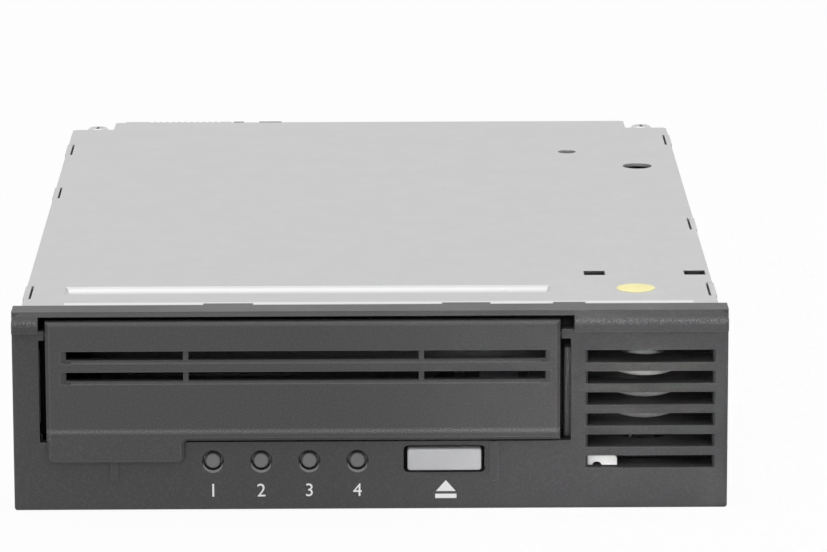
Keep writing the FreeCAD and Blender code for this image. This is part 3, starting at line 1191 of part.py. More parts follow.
def fan_plug():
    """White fan connector standing on the floor in front of the housing."""
    body = block(PLUG_X[0], PLUG_X[1], PLUG_Y, FAN_Y - SEAT_GAP, FLOOR_T, FLOOR_T + PLUG_H)
    body = rounded(body, PLUG_R, Y_AXIS, lambda m: m.z > FLOOR_T + PLUG_H - 0.1)
    slots = []
    for i in range(PLUG_WAYS):
        x = PLUG_X[0] + PLUG_PITCH * (i + 0.5)
        slots.append(block(x, x + PLUG_SLOT_W, PLUG_Y - THROUGH, PLUG_Y + PLUG_SLOT_D,
                           FLOOR_T + PLUG_SLOT_Z[0], FLOOR_T + PLUG_SLOT_Z[1]))
    return cut(body, *slots)


# ---- deck -------------------------------------------------------------------

def deck_casting():
    """Die-cast deck in two levels: low under the cartridge, high under reel and head."""
    low = block(-DECK_X, DECK_X, DECK_Y[0], DECK_STEP_Y + DECK_T, DECK_LOW_Z, DECK_LOW_TOP)
    high = block(-DECK_X, DECK_X, DECK_STEP_Y, DECK_Y[1], DECK_HIGH_Z, DECK_HIGH_TOP)
    web = block(-DECK_X, DECK_X, DECK_STEP_Y, DECK_STEP_Y + DECK_T, DECK_LOW_Z, DECK_HIGH_TOP)
    ribs = []
    rib_top = DECK_LOW_TOP + DECK_RIB_H
    for x in DECK_RIBS_X:
        section = [(DECK_STEP_Y - DECK_RIB_L, DECK_LOW_TOP), (DECK_STEP_Y, rib_top), (DECK_STEP_Y, DECK_LOW_TOP)]
        ribs.append(outline_yz(section, x - DECK_RIB_T / 2, x + DECK_RIB_T / 2))
    for z_top, y in ((DECK_LOW_TOP, DECK_STEP_Y - DECK_BAR_IN[0]), (DECK_HIGH_TOP, DECK_Y[1] - DECK_BAR_IN[1])):
        ribs.append(block(DECK_BAR_SIDE_IN[0] - DECK_X, CART_X - DECK_BAR_SIDE_IN[1], y - DECK_BAR_T / 2,
                          y + DECK_BAR_T / 2, z_top - DECK_T / 2, z_top + DECK_BAR_H))
    deck = join(low, high, web, *ribs)
    tools = [block(FAN_X[0] - 2 * SEAT_GAP, DECK_X + THROUGH, DECK_Y[0] - THROUGH,
                   FAN_Y + FAN_D + 5 * SEAT_GAP, 0, DECK_HIGH_TOP)]
    tools.append(rod(CART_X, SUPPLY_Y, 0, SUPPLY_MOTOR_R - SUPPLY_WELL_STEP, DECK_HIGH_TOP))
    for x in (CART_X - DECK_WINDOW_OUT, CART_X + DECK_WINDOW_OUT):
        window = block(x - DECK_WINDOW_W / 2, x + DECK_WINDOW_W / 2, DECK_Y[0] + DECK_WINDOW_START,
                       DECK_STEP_Y - DECK_WINDOW_END, 0, DECK_HIGH_TOP)
        tools.append(rounded(window, DECK_WINDOW_R, Z_AXIS))
    for x, y in DECK_FIXINGS:
        tools.append(rod(x, y, 0, M3_R + DECK_HOLE_PLAY, DECK_HIGH_TOP + THROUGH))
    cable_gap = block(CABLE_X[0] - CABLE_GAP, CABLE_X[1] + CABLE_GAP, DECK_STEP_Y - THROUGH,
                      DECK_STEP_Y + DECK_T + THROUGH, 0, DECK_LOW_Z + DECK_CABLE_H)
    return cut(deck, cable_gap, *tools)


def deck_isolators():
    """Rubber washers between the deck and the floor or its posts."""
    washers = []
    for x, y in DECK_FIXINGS:
        z0, z1 = (FLOOR_T, DECK_LOW_Z) if y < DECK_STEP_Y else (DECK_HIGH_Z - DECK_T, DECK_HIGH_Z)
        hole = rod(x, y, z0 - THROUGH, M3_R + DECK_HOLE_PLAY, z1 - z0 + 2 * THROUGH)
        washers.append(cut(rod(x, y, z0, ISOLATOR_R, z1 - z0), hole))
    return group(washers)


def deck_screws():
    """Four screws through the deck and its rubber washers."""
    screws = []
    for x, y in DECK_FIXINGS:
        top = DECK_LOW_TOP if y < DECK_STEP_Y else DECK_HIGH_TOP
        length = top - DECK_SCREW_SHORT if y < DECK_STEP_Y else DECK_SCREW_L
        screws.append(screw(x, y, top, M3_R, length, M3_HEAD_R, M3_HEAD_H))
    return group(screws)


# ---- cartridge tray, frames and slides --------------------------------------

def side_x(side, inner, outer):
    """The X span of a sheet on one side of the cartridge bay."""
    return sorted((CART_X + side * inner, CART_X + side * outer))


def cartridge_tray():
    """Sheet cage that receives the cartridge: sides, bottom lips, top bridge and guide pins."""
    y0, y1 = TRAY_Y
    top = block(CART_X - TRAY_OUT, CART_X + TRAY_OUT, y0, y1, TRAY_TOP, TRAY_TOP + TRAY_SHEET)
    margin = TRAY_WINDOW_IN
    window = block(CART_X - TRAY_IN + margin, CART_X + TRAY_IN - margin, y0 + margin + TRAY_WINDOW_FRONT, y1 - margin,
                   TRAY_TOP - THROUGH, TRAY_TOP + TRAY_SHEET + THROUGH)
    top = cut(top, rounded(window, TRAY_WINDOW_R, Z_AXIS))
    pieces = []
    for side in (-1, 1):
        x0, x1 = side_x(side, TRAY_IN, TRAY_OUT)
        pieces.append(block(x0, x1, y0, y1, LIP_TOP - TRAY_SHEET, TRAY_TOP + TRAY_SHEET))
        x0, x1 = side_x(side, TRAY_IN - TRAY_LIP_W, TRAY_OUT)
        pieces.append(block(x0, x1, y0, y1, LIP_TOP - TRAY_SHEET, LIP_TOP))
        x0, x1 = side_x(side, TRAY_IN, SLIDE_OUT + SEAT_GAP)
        for y in TRAY_PIN_Y:
            pieces.append(rod(x0, y, TRAY_PIN_Z, TRAY_PIN_R, x1 - x0, X_AXIS))
    stop = block(CART_X - TRAY_OUT, CART_X - TRAY_OUT + TRAY_STOP[0], y1 - TRAY_SHEET, y1, TRAY_TOP - TRAY_STOP[1],
                 TRAY_TOP + TRAY_SHEET)
    return join(top, stop, *pieces)


def bay_frame(side):
    """Fixed side sheet with upright slots that let the tray only rise and fall."""
    x0, x1 = side_x(side, FRAME_IN, FRAME_IN + FRAME_SHEET)
    sheet = block(x0, x1, FRAME_Y[0], FRAME_Y[1], DECK_LOW_TOP, FRAME_TOP)
    foot_x = side_x(side, FRAME_IN - FRAME_FOOT_W, FRAME_IN + FRAME_SHEET)
    foot = block(foot_x[0], foot_x[1], FRAME_Y[0], FRAME_Y[1] - FRAME_FOOT_SHORT, DECK_LOW_TOP,
                 DECK_LOW_TOP + FRAME_SHEET)
    slot_r = TRAY_PIN_R + PIN_SLOT_GAP
    ends = (x0 - THROUGH / 4, x1 + THROUGH / 4)
    slots = [round_slot(ends[0], ends[1], (y, TRAY_PIN_Z), (y, TRAY_PIN_Z - TRAY_DROP), slot_r) for y in TRAY_PIN_Y]
    light = block(ends[0], ends[1], FRAME_Y[0] + FRAME_LIGHT_Y[0], FRAME_Y[1] - FRAME_LIGHT_Y[1],
                  DECK_LOW_TOP + FRAME_LIGHT_Z, TRAY_PIN_Z - TRAY_DROP + FRAME_LIGHT_R)
    return cut(join(sheet, foot), *slots, rounded(light, FRAME_LIGHT_R, X_AXIS))


def cam_slide(side):
    """Sliding side sheet with two slanted slots that lower the tray as it moves back."""
    x0, x1 = side_x(side, SLIDE_IN, SLIDE_OUT)
    sheet = block(x0, x1, SLIDE_Y[0], SLIDE_Y[1], SLIDE_Z[0], SLIDE_Z[1])
    sheet = rounded(sheet, SLIDE_R, X_AXIS)
    arm = block(x0, x1, LINK_Y[0], LINK_Y[1], SLIDE_Z[1] - SLIDE_R / 2, LINK_Z)
    slot_r = TRAY_PIN_R + PIN_SLOT_GAP
    slots = [round_slot(x0 - THROUGH, x1 + THROUGH, (y, TRAY_PIN_Z), (y - SLIDE_TRAVEL, TRAY_PIN_Z - TRAY_DROP), slot_r)
             for y in TRAY_PIN_Y]
    return cut(join(sheet, arm), *slots)


def right_cam_slide():
    """The right slide also carries the rack that the loader gear drives."""
    x1 = CART_X + SLIDE_OUT
    root_x = x1 + RACK_WEB
    pitch = math.pi * RACK_MODULE
    half_pitch = (pitch / 2 - MESH_PLAY) / 2
    flank = math.tan(math.radians(PRESSURE_ANGLE))
    half_root = half_pitch + DEDENDUM * RACK_MODULE * flank
    half_tip = half_pitch - RACK_MODULE * flank
    points = [(x1 - SLIDE_SHEET / 2, RACK_Y[0])]
    first = math.ceil((RACK_Y[0] + half_root - PINION_Y) / pitch - 0.5)
    last = math.floor((RACK_Y[1] - half_root - PINION_Y) / pitch - 0.5)
    points.append((root_x, RACK_Y[0]))
    for i in range(first, last + 1):
        y = PINION_Y + (i + 0.5) * pitch
        points += [(root_x, y - half_root), (RACK_PITCH_X + RACK_MODULE, y - half_tip),
                   (RACK_PITCH_X + RACK_MODULE, y + half_tip), (root_x, y + half_root)]
    points += [(root_x, RACK_Y[1]), (x1 - SLIDE_SHEET / 2, RACK_Y[1])]
    return join(cam_slide(1), outline_xy(points, RACK_Z[0], RACK_Z[1]))


def slide_link():
    """Cross bar over the tray that makes both slides move together."""
    x0 = side_x(-1, SLIDE_IN, SLIDE_OUT)[0]
    x1 = side_x(1, SLIDE_IN, SLIDE_OUT)[1]
    return block(x0, x1, LINK_Y[0], LINK_Y[1], LINK_Z, LINK_Z + LINK_T)


# ---- loader drive -----------------------------------------------------------

def loader_gear():
    """Compound gear: a pinion on the rack and a large wheel driven by the motor."""
    bore = GEAR_POST_R + RUN_FIT
    pinion = gear(PINION_X, PINION_Y, RACK_Z[0] - SEAT_GAP, DRIVE_Z[0] + SEAT_GAP, PINION_TEETH, RACK_MODULE,
                  bore, 180.0)
    wheel = gear(PINION_X, PINION_Y, DRIVE_Z[0], DRIVE_Z[1], BIG_TEETH, DRIVE_MODULE, bore, MOTOR_ANGLE)
    return join(pinion, wheel)


def loader_gear_post():
    """Fixed post and collar that carry the compound gear."""
    collar_top = RACK_Z[0] - 2 * SEAT_GAP
    collar = rod(PINION_X, PINION_Y, DECK_LOW_TOP, GEAR_POST_R * 2, collar_top - DECK_LOW_TOP)
    return join(collar, rod(PINION_X, PINION_Y, DECK_LOW_TOP, GEAR_POST_R,
                             DRIVE_Z[1] + GEAR_POST_ABOVE - DECK_LOW_TOP))


def loader_motor():
    """Small can motor standing on the deck."""
    can = rod(MOTOR_X, MOTOR_Y, DECK_LOW_TOP, MOTOR_R, MOTOR_TOP - DECK_LOW_TOP)
    rim = [e for e in can.Edges if e.CenterOfMass.z > MOTOR_TOP - 0.1 and len(e.Vertexes) == 1]
    can = can.makeFillet(MOTOR_EDGE_R, rim)
    flats = []
    for side in (-1, 1):
        y0, y1 = sorted((MOTOR_Y + side * MOTOR_R * MOTOR_FLAT, MOTOR_Y + side * (MOTOR_R + THROUGH)))
        flats.append(block(MOTOR_X - MOTOR_R, MOTOR_X + MOTOR_R, y0, y1, DECK_LOW_TOP - THROUGH, MOTOR_TOP + THROUGH))
    return cut(can, *flats)


def loader_pinion():
    """Motor shaft with its pinion."""
    half_step = 180.0 / MOTOR_TEETH
    pinion = gear(MOTOR_X, MOTOR_Y, DRIVE_Z[0], DRIVE_Z[1], MOTOR_TEETH, DRIVE_MODULE, MOTOR_SHAFT_R / 2,
                  MOTOR_ANGLE + 180.0 + half_step)
    shaft = rod(MOTOR_X, MOTOR_Y, MOTOR_TOP + SEAT_GAP, MOTOR_SHAFT_R,
                DRIVE_Z[1] + MOTOR_SHAFT_ABOVE - MOTOR_TOP - SEAT_GAP)
    return join(pinion, shaft)


# ---- reels ------------------------------------------------------------------

def supply_motor():
    """Flat motor base on the deck, with the spindle of the cartridge drive."""
    z0 = DECK_LOW_TOP
    base = rod(CART_X, SUPPLY_Y, z0, SUPPLY_MOTOR_R, SUPPLY_MOTOR_T)
    well = rod(CART_X, SUPPLY_Y, FLOOR_T + SEAT_GAP, SUPPLY_MOTOR_R - SUPPLY_WELL_STEP - SEAT_GAP, z0 - FLOOR_T)
    spindle_top = z0 + SUPPLY_MOTOR_T + SEAT_GAP + CLUTCH_T + CROWN_H
    return join(base, well, rod(CART_X, SUPPLY_Y, z0, SPINDLE_R, spindle_top - z0))


def supply_clutch():
    """Turning disc with a toothed crown that engages the cartridge's hub."""
    z0 = DECK_LOW_TOP + SUPPLY_MOTOR_T + SEAT_GAP
    z1 = z0 + CLUTCH_T
    disc = rod(CART_X, SUPPLY_Y, z0, CLUTCH_R, CLUTCH_T)
    crown = cut(rod(CART_X, SUPPLY_Y, z0, CROWN_R[1], CLUTCH_T + CROWN_H),
                rod(CART_X, SUPPLY_Y, z0 - THROUGH, CROWN_R[0], CLUTCH_T + CROWN_H + 2 * THROUGH))
    foot, top = CROWN_GASH[0] / 2, CROWN_GASH[1] / 2
    low, high = z1 + CROWN_FOOT, z1 + CROWN_H
    section = [(-foot, low), (-top, high), (-top, high + THROUGH), (top, high + THROUGH), (top, high), (foot, low)]
    gashes = []
    for i in range(CROWN_TEETH):
        gash = outline_yz(section, CROWN_R[0] - THROUGH, CROWN_R[1] + THROUGH)
        gash.rotate(V(0, 0, 0), Z_AXIS, 360 / CROWN_TEETH * i)
        gash.translate(V(CART_X, SUPPLY_Y, 0))
        gashes.append(gash)
    disc = join(disc, cut(crown, *gashes))
    return cut(disc, rod(CART_X, SUPPLY_Y, z0 - THROUGH, SPINDLE_R + RUN_FIT, CLUTCH_T + 2 * THROUGH))


def take_up_motor():
    """Flat motor base under the take-up reel, with its spindle."""
    x, y = TAKE_UP
    base = rod(x, y, DECK_HIGH_TOP, TAKE_UP_MOTOR_R, TAKE_UP_MOTOR_T)
    return join(base, rod(x, y, DECK_HIGH_TOP, TAKE_UP_SHAFT_R, TAPE_HIGH - DECK_HIGH_TOP))


def reel_windows(z0, z1):
    """The sector-shaped windows of a reel flange."""
    x, y = TAKE_UP
    windows = []
    for i in range(REEL_WINDOWS):
        ring = cut(rod(0, 0, z0, REEL_WINDOW_R[1], z1 - z0),
                   rod(0, 0, z0 - THROUGH, REEL_WINDOW_R[0], z1 - z0 + 2 * THROUGH))
        side = REEL_R * math.tan(math.radians(REEL_WINDOW_HALF))
        window = ring.common(outline_xy([(0, 0), (REEL_R, -side), (REEL_R, side)], z0, z1))
        window.rotate(V(0, 0, 0), Z_AXIS, 360 / REEL_WINDOWS * i + REEL_WINDOW_TURN)
        window.translate(V(x, y, 0))
        windows.append(window)
    return windows


def leader_slot():
    """The slot at the hub's edge that takes the leader hook."""
    x, y = TAKE_UP
    return block(x - LEADER_SLOT_W / 2, x + LEADER_SLOT_W / 2, y - REEL_HUB_R - THROUGH,
                 y - REEL_HUB_R + LEADER_SLOT_D, TAPE_LOW, TAPE_HIGH + FLANGE_T + THROUGH)


def take_up_reel():
    """Lower flange and hub in one, with a neck for the upper flange."""
    x, y = TAKE_UP
    z0 = TAPE_LOW - FLANGE_T
    lower = rod(x, y, z0, REEL_R, FLANGE_T)
    hub = rod(x, y, z0, REEL_HUB_R, TAPE_HIGH - z0)
    neck = rod(x, y, z0, REEL_NECK_R, TAPE_HIGH + FLANGE_T - z0)
    well = rod(x, y, TAPE_LOW + REEL_WELL[1], REEL_WELL[0], TAPE_W + FLANGE_T)
    bore = rod(x, y, z0 - THROUGH, TAKE_UP_SHAFT_R + RUN_FIT, TAPE_W)
    return cut(join(lower, hub, neck), leader_slot(), well, bore, *reel_windows(z0 - THROUGH, TAPE_LOW + THROUGH))


def reel_upper_flange():
    """Upper flange of the take-up reel, pressed on the hub's neck."""
    x, y = TAKE_UP
    ring = cut(rod(x, y, TAPE_HIGH, REEL_R, FLANGE_T),
               rod(x, y, TAPE_HIGH - THROUGH, REEL_NECK_R + RUN_FIT, FLANGE_T + 2 * THROUGH))
    return cut(ring, leader_slot(), *reel_windows(TAPE_HIGH - THROUGH, TAPE_HIGH + FLANGE_T + THROUGH))


# ---- tape path --------------------------------------------------------------

def guide_roller(place):
    """Flanged roller that turns on its post."""
    x, y = place
    z0 = TAPE_LOW - ROLLER_FLANGE_T
    z1 = TAPE_HIGH + ROLLER_FLANGE_T
    body = join(rod(x, y, z0, ROLLER_R, z1 - z0), rod(x, y, z0, ROLLER_FLANGE_R, ROLLER_FLANGE_T),
                rod(x, y, TAPE_HIGH, ROLLER_FLANGE_R, ROLLER_FLANGE_T))
    return cut(body, rod(x, y, z0 - THROUGH, ROLLER_POST_R + RUN_FIT, z1 - z0 + 2 * THROUGH))


def roller_posts():
    """Four posts on the deck, each with a lower collar and a cap."""
    posts = []
    low = TAPE_LOW - ROLLER_FLANGE_T - SEAT_GAP
    high = TAPE_HIGH + ROLLER_FLANGE_T + SEAT_GAP
    for x, y in ROLLERS:
        collar = rod(x, y, DECK_HIGH_TOP, POST_COLLAR_R, low - DECK_HIGH_TOP)
        post = rod(x, y, DECK_HIGH_TOP, ROLLER_POST_R, high + POST_CAP_T / 2 - DECK_HIGH_TOP)
        cap = rod(x, y, high, POST_CAP_R, POST_CAP_T)
        posts.append(join(collar, post, cap))
    return group(posts)


def arm_pivot():
    """The threading arm's pivot: equally far from the cartridge's exit and the reel's centre."""
    dx = TAKE_UP[0] - ARM_REST[0]
    dy = TAKE_UP[1] - ARM_REST[1]
    span = math.hypot(dx, dy)
    rise = math.sqrt(ARM_R ** 2 - (span / 2) ** 2)
    return (ARM_REST[0] + dx / 2 + dy / span * rise, ARM_REST[1] + dy / 2 - dx / span * rise)


def arm_swing():
    """How far the arm turns from the cartridge's exit to over the reel, in degrees."""
    span = math.hypot(TAKE_UP[0] - ARM_REST[0], TAKE_UP[1] - ARM_REST[1])
    return math.degrees(2 * math.asin(span / 2 / ARM_R))


def threading_arm():
    """Tapered arm over the tape path, with a boss at its pivot."""
    px, py = arm_pivot()
    hx, hy = ARM_REST
    run = math.hypot(hx - px, hy - py)
    ux, uy = (hx - px) / run, (hy - py) / run
    wide, slim = ARM_W / 2, ARM_TIP_W / 2
    points = [(px - uy * wide, py + ux * wide), (px + uy * wide, py - ux * wide),
              (hx + uy * slim, hy - ux * slim), (hx - uy * slim, hy + ux * slim)]
    arm = outline_xy(points, ARM_Z, ARM_Z + ARM_T)
    boss = rod(px, py, ARM_Z - ARM_BOSS_DOWN, ARM_BOSS_R, ARM_BOSS_H)
    tip = rod(hx, hy, ARM_Z, HOOK_R, ARM_T)
    bore = rod(px, py, ARM_Z - ARM_BOSS_DOWN - THROUGH, ARM_POST_R + RUN_FIT, ARM_BOSS_H + 2 * THROUGH)
    return cut(join(arm, boss, tip), bore)


def arm_post():
    """Fixed post that the threading arm turns on."""
    px, py = arm_pivot()
    shoulder = ARM_Z - ARM_BOSS_DOWN - SEAT_GAP
    lower = rod(px, py, DECK_HIGH_TOP, ARM_POST_SHOULDER_R, shoulder - DECK_HIGH_TOP)
    pin = rod(px, py, DECK_HIGH_TOP, ARM_POST_R, ARM_Z + ARM_T + ARM_POST_ABOVE - DECK_HIGH_TOP)
    return join(lower, pin)


def leader_hook():
    """Block under the arm's tip, with the notch that catches the leader pin."""
    hx, hy = ARM_REST
    body = rod(hx, hy, ARM_Z - HOOK_DROP, HOOK_R, HOOK_DROP)
    half = HOOK_NOTCH_W / 2
    bottom = ARM_Z - HOOK_DROP
    return cut(body, block(hx - half, hx + half, hy - HOOK_R - THROUGH, hy, bottom - THROUGH, bottom + HOOK_NOTCH_UP))


# ---- head -------------------------------------------------------------------

def head_frame():
    """C-shaped bracket on the deck that holds the guide rods and the stepper."""
    x0, x1 = HEAD_FRAME_X
    y0, y1 = HEAD_Y - HEAD_FRAME_W / 2, HEAD_Y + HEAD_FRAME_W / 2
    t = HEAD_FRAME_T
    foot = block(x0, x1, y0, y1, DECK_HIGH_TOP, DECK_HIGH_TOP + t)
    wall = block(x1 - t, x1, y0, y1, DECK_HIGH_TOP, HEAD_FRAME_TOP + t)
    roof = block(HEAD_AXIS_X - HEAD_ROOF_REACH, x1, y0, y1, HEAD_FRAME_TOP, HEAD_FRAME_TOP + t)
    height = HEAD_FRAME_TOP + t - DECK_HIGH_TOP
    holes = [rod(HEAD_AXIS_X, HEAD_Y + side * HEAD_ROD_HALF, DECK_HIGH_TOP - THROUGH, HEAD_ROD_R + RUN_FIT,
                 height + 2 * THROUGH) for side in (-1, 1)]
    holes.append(rod(HEAD_AXIS_X, HEAD_Y, DECK_HIGH_TOP + LEAD_SCREW_FOOT / 2, LEAD_SCREW_R + RUN_FIT, height + THROUGH))
    return cut(join(foot, wall, roof), *holes)


def head_guide_rods():
    """Two upright rods for the head carriage."""
    return group(rod(HEAD_AXIS_X, HEAD_Y + s * HEAD_ROD_HALF, DECK_HIGH_TOP, HEAD_ROD_R,
                     HEAD_FRAME_TOP + HEAD_FRAME_T - DECK_HIGH_TOP) for s in (-1, 1))


def head_carriage():
    """Block that rides on the two rods, moved by the lead screw."""
    y0, y1 = HEAD_Y - CARRIAGE_W / 2, HEAD_Y + CARRIAGE_W / 2
    body = block(CARRIAGE_X[0], CARRIAGE_X[1], y0, y1, CARRIAGE_Z[0], CARRIAGE_Z[1])
    body = rounded(body, CARRIAGE_R, Z_AXIS)
    bores = [rod(HEAD_AXIS_X, HEAD_Y + side * HEAD_ROD_HALF, 0, HEAD_ROD_R + RUN_FIT, CARRIAGE_Z[1] + THROUGH)
             for side in (-1, 1)]
    bores.append(rod(HEAD_AXIS_X, HEAD_Y, 0, LEAD_SCREW_R + RUN_FIT, CARRIAGE_Z[1] + THROUGH))
    return cut(body, *bores)


def tape_head():
    """Read and write head with a crowned face towards the tape."""
    body = block(HEAD_FACE_X, CARRIAGE_X[0], HEAD_Y - HEAD_W / 2, HEAD_Y + HEAD_W / 2,
                 TAPE_LOW, TAPE_HIGH)
    nose = rod(HEAD_FACE_X + HEAD_NOSE_R, HEAD_Y, TAPE_LOW - THROUGH, HEAD_NOSE_R, TAPE_W + 2 * THROUGH)
    return body.common(nose)


def head_lead_screw():
    """Lead screw of the head carriage, from the foot to the stepper."""
    z0 = DECK_HIGH_TOP + LEAD_SCREW_FOOT
    return rod(HEAD_AXIS_X, HEAD_Y, z0, LEAD_SCREW_R, HEAD_FRAME_TOP + HEAD_FRAME_T - LEAD_SCREW_TOP_GAP - z0)


def head_stepper():
    """Stepper motor on the roof of the head bracket."""
    z0 = HEAD_FRAME_TOP + HEAD_FRAME_T
    can = rod(HEAD_AXIS_X, HEAD_Y, z0, STEPPER_R, STEPPER_H)
    return can.makeFillet(STEPPER_EDGE_R, [e for e in can.Edges if e.CenterOfMass.z > z0 + STEPPER_H - 0.1
                                and len(e.Vertexes) == 1])


# ---- main board and connectors ----------------------------------------------

def main_board():
    """Main circuit board on the floor's standoffs."""
    board = block(-BOARD_X, BOARD_X, BOARD_Y[0], BOARD_Y[1], BOARD_Z, BOARD_TOP)
    high = BOARD_TOP + THROUGH
    tools = [rod(x, y, 0, M2_R + RUN_FIT, high) for x, y in BOARD_FIXINGS]
    reach = ISOLATOR_R + BOARD_CORNER_GAP
    for x, y in DECK_FIXINGS:
        if y > DECK_STEP_Y:
            x0, x1 = sorted((x, math.copysign(BOARD_X + THROUGH, x)))
            tools.append(rod(x, y, 0, reach, high))
            tools.append(block(x0, x1, y - reach, y + reach, 0, high))
    return cut(board, *tools)


def board_screws():
    """Four screws that hold the main board to its standoffs."""
    length = BOARD_T + BOARD_SCREW_IN
    return group(screw(x, y, BOARD_TOP, M2_R, length, M2_HEAD_R, M2_HEAD_H) for x, y in BOARD_FIXINGS)


def board_chips():
    """Packaged chips on the main board."""
    front = BOARD_Y[0]
    return group(mid_block(x, front + y, w, d, BOARD_TOP, BOARD_TOP + CHIP_H) for x, y, w, d in CHIPS)


def interface_connector():
    """Shielded two-row data connector on the rear edge of the main board."""
    x0, x1 = PORT_X - PORT_W / 2, PORT_X + PORT_W / 2
    z0, z1 = BOARD_TOP, BOARD_TOP + PORT_H
    wall, slant = PORT_WALL, PORT_WALL + PORT_SLANT
    mouth = [(x0 + wall, z1 - wall), (x1 - wall, z1 - wall), (x1 - slant, z0 + wall), (x0 + slant, z0 + wall)]
    shell = block(x0, x1, PORT_FRONT, REAR_REACH, z0, z1)
    body = cut(shell, outline_xz(mouth, REAR_REACH - PORT_DEPTH, REAR_REACH + THROUGH))
    faces = ((z0 + z1 - PORT_BLADE_T) / 2, (z0 + z1 + PORT_BLADE_T) / 2)
    blade = block(x0 + PORT_BLADE_IN, x1 - PORT_BLADE_IN, REAR_REACH - PORT_DEPTH - PORT_WALL / 2,
                  REAR_REACH - PORT_BLADE_BACK, faces[0], faces[1])
    pitch = (PORT_W - 2 * PORT_PIN_IN) / (PORT_PINS - 1)
    half_w, half_d = pitch * PORT_GROOVE[0] / 2, PORT_GROOVE[1] / 2
    grooves = []
    for i in range(PORT_PINS):
        x = x0 + PORT_PIN_IN + pitch * i
        for z in faces:
            grooves.append(block(x - half_w, x + half_w, REAR_REACH - PORT_GROOVE_L, REAR_REACH,
                                 z - half_d, z + half_d))
    return join(body, cut(blade, *grooves))


def power_connector():
    """Four-pin power inlet with chamfered upper corners."""
    x0, x1 = POWER_X - POWER_W / 2, POWER_X + POWER_W / 2
    z0, z1 = BOARD_TOP, BOARD_TOP + POWER_H
    wall, slant = POWER_WALL, POWER_WALL + POWER_CHAMFER
    shell = block(x0, x1, POWER_FRONT, POWER_REAR, z0, z1)
    inner = [(x0 + wall, z0 + wall), (x1 - wall, z0 + wall), (x1 - wall, z1 - slant), (x1 - slant, z1 - wall),
             (x0 + slant, z1 - wall), (x0 + wall, z1 - slant)]
    back = POWER_REAR - POWER_DEPTH
    body = cut(shell, outline_xz(inner, back, POWER_REAR + THROUGH))
    pins = [rod(POWER_X + POWER_PITCH * (i - (POWER_PINS - 1) / 2), back - POWER_WALL, (z0 + z1) / 2, POWER_PIN_R,
                POWER_PIN_L, Y_AXIS) for i in range(POWER_PINS)]
    return join(body, *pins)


def jumper_block():
    """Identity jumper block in the rear wall, with two lugs that hold it under the cover's overhang."""
    rear = COVER_REAR + CLIP_REACH
    body = block(JUMPER_X[0], JUMPER_X[1], rear - JUMPER_L, rear, JUMPER_Z[0], JUMPER_Z[1])
    lugs = [block(x0, x1, COVER_REAR + JUMPER_LUG_GAP, rear, (JUMPER_Z[0] + JUMPER_Z[1]) / 2, COVER_TOP)
            for x0, x1 in JUMPER_LUGS]
    sockets = []
    for i in range(JUMPER_WAYS[0]):
        for j in range(JUMPER_WAYS[1]):
            x = JUMPER_X[0] + JUMPER_SOCKET_IN[0] + JUMPER_PITCH[0] * i
            z = JUMPER_Z[0] + JUMPER_SOCKET_IN[1] + JUMPER_PITCH[1] * j
            sockets.append(block(x, x + JUMPER_SOCKET, rear - JUMPER_SOCKET_D, rear + THROUGH, z, z + JUMPER_SOCKET))
    return cut(join(body, *lugs), *sockets)


def rear_ground_clip():
    """Slotted spring strip on the cover's rear flange that grounds the data connector's plug."""
    y0 = COVER_REAR
    strip = block(CLIP_X[0], CLIP_X[1], y0, y0 + CLIP_T, COVER_TOP - COVER_FLANGE_H, COVER_TOP)
    crest = block(CLIP_X[0], CLIP_X[1], y0, y0 + CLIP_REACH, COVER_TOP - CLIP_T, COVER_TOP)
    first = CLIP_X[0] + CLIP_TOOTH_IN[0]
    pitch = (CLIP_X[1] - CLIP_TOOTH_IN[1] - first) / CLIP_TEETH
    slots = [block(first + pitch * i, first + pitch * (i + CLIP_SLOT_SHARE), y0 + CLIP_T, y0 + CLIP_REACH + THROUGH,
                   COVER_TOP - CLIP_SLOT_H, COVER_TOP + THROUGH) for i in range(CLIP_TEETH)]
    return cut(join(strip, crest), *slots)


def cartridge_sensor():
    """Forked light sensor under the rear of the tray."""
    y = DECK_STEP_Y - SENSOR_BACK
    width, depth, height = SENSOR
    body = mid_block(SENSOR_X, y, width, depth, DECK_LOW_TOP, DECK_LOW_TOP + height)
    fork = mid_block(SENSOR_X, y, SENSOR_FORK_W, depth + THROUGH, DECK_LOW_TOP + SENSOR_FORK_FLOOR,
                     DECK_LOW_TOP + height + THROUGH)
    return cut(body, fork)


# ---- writing the pieces -----------------------------------------------------

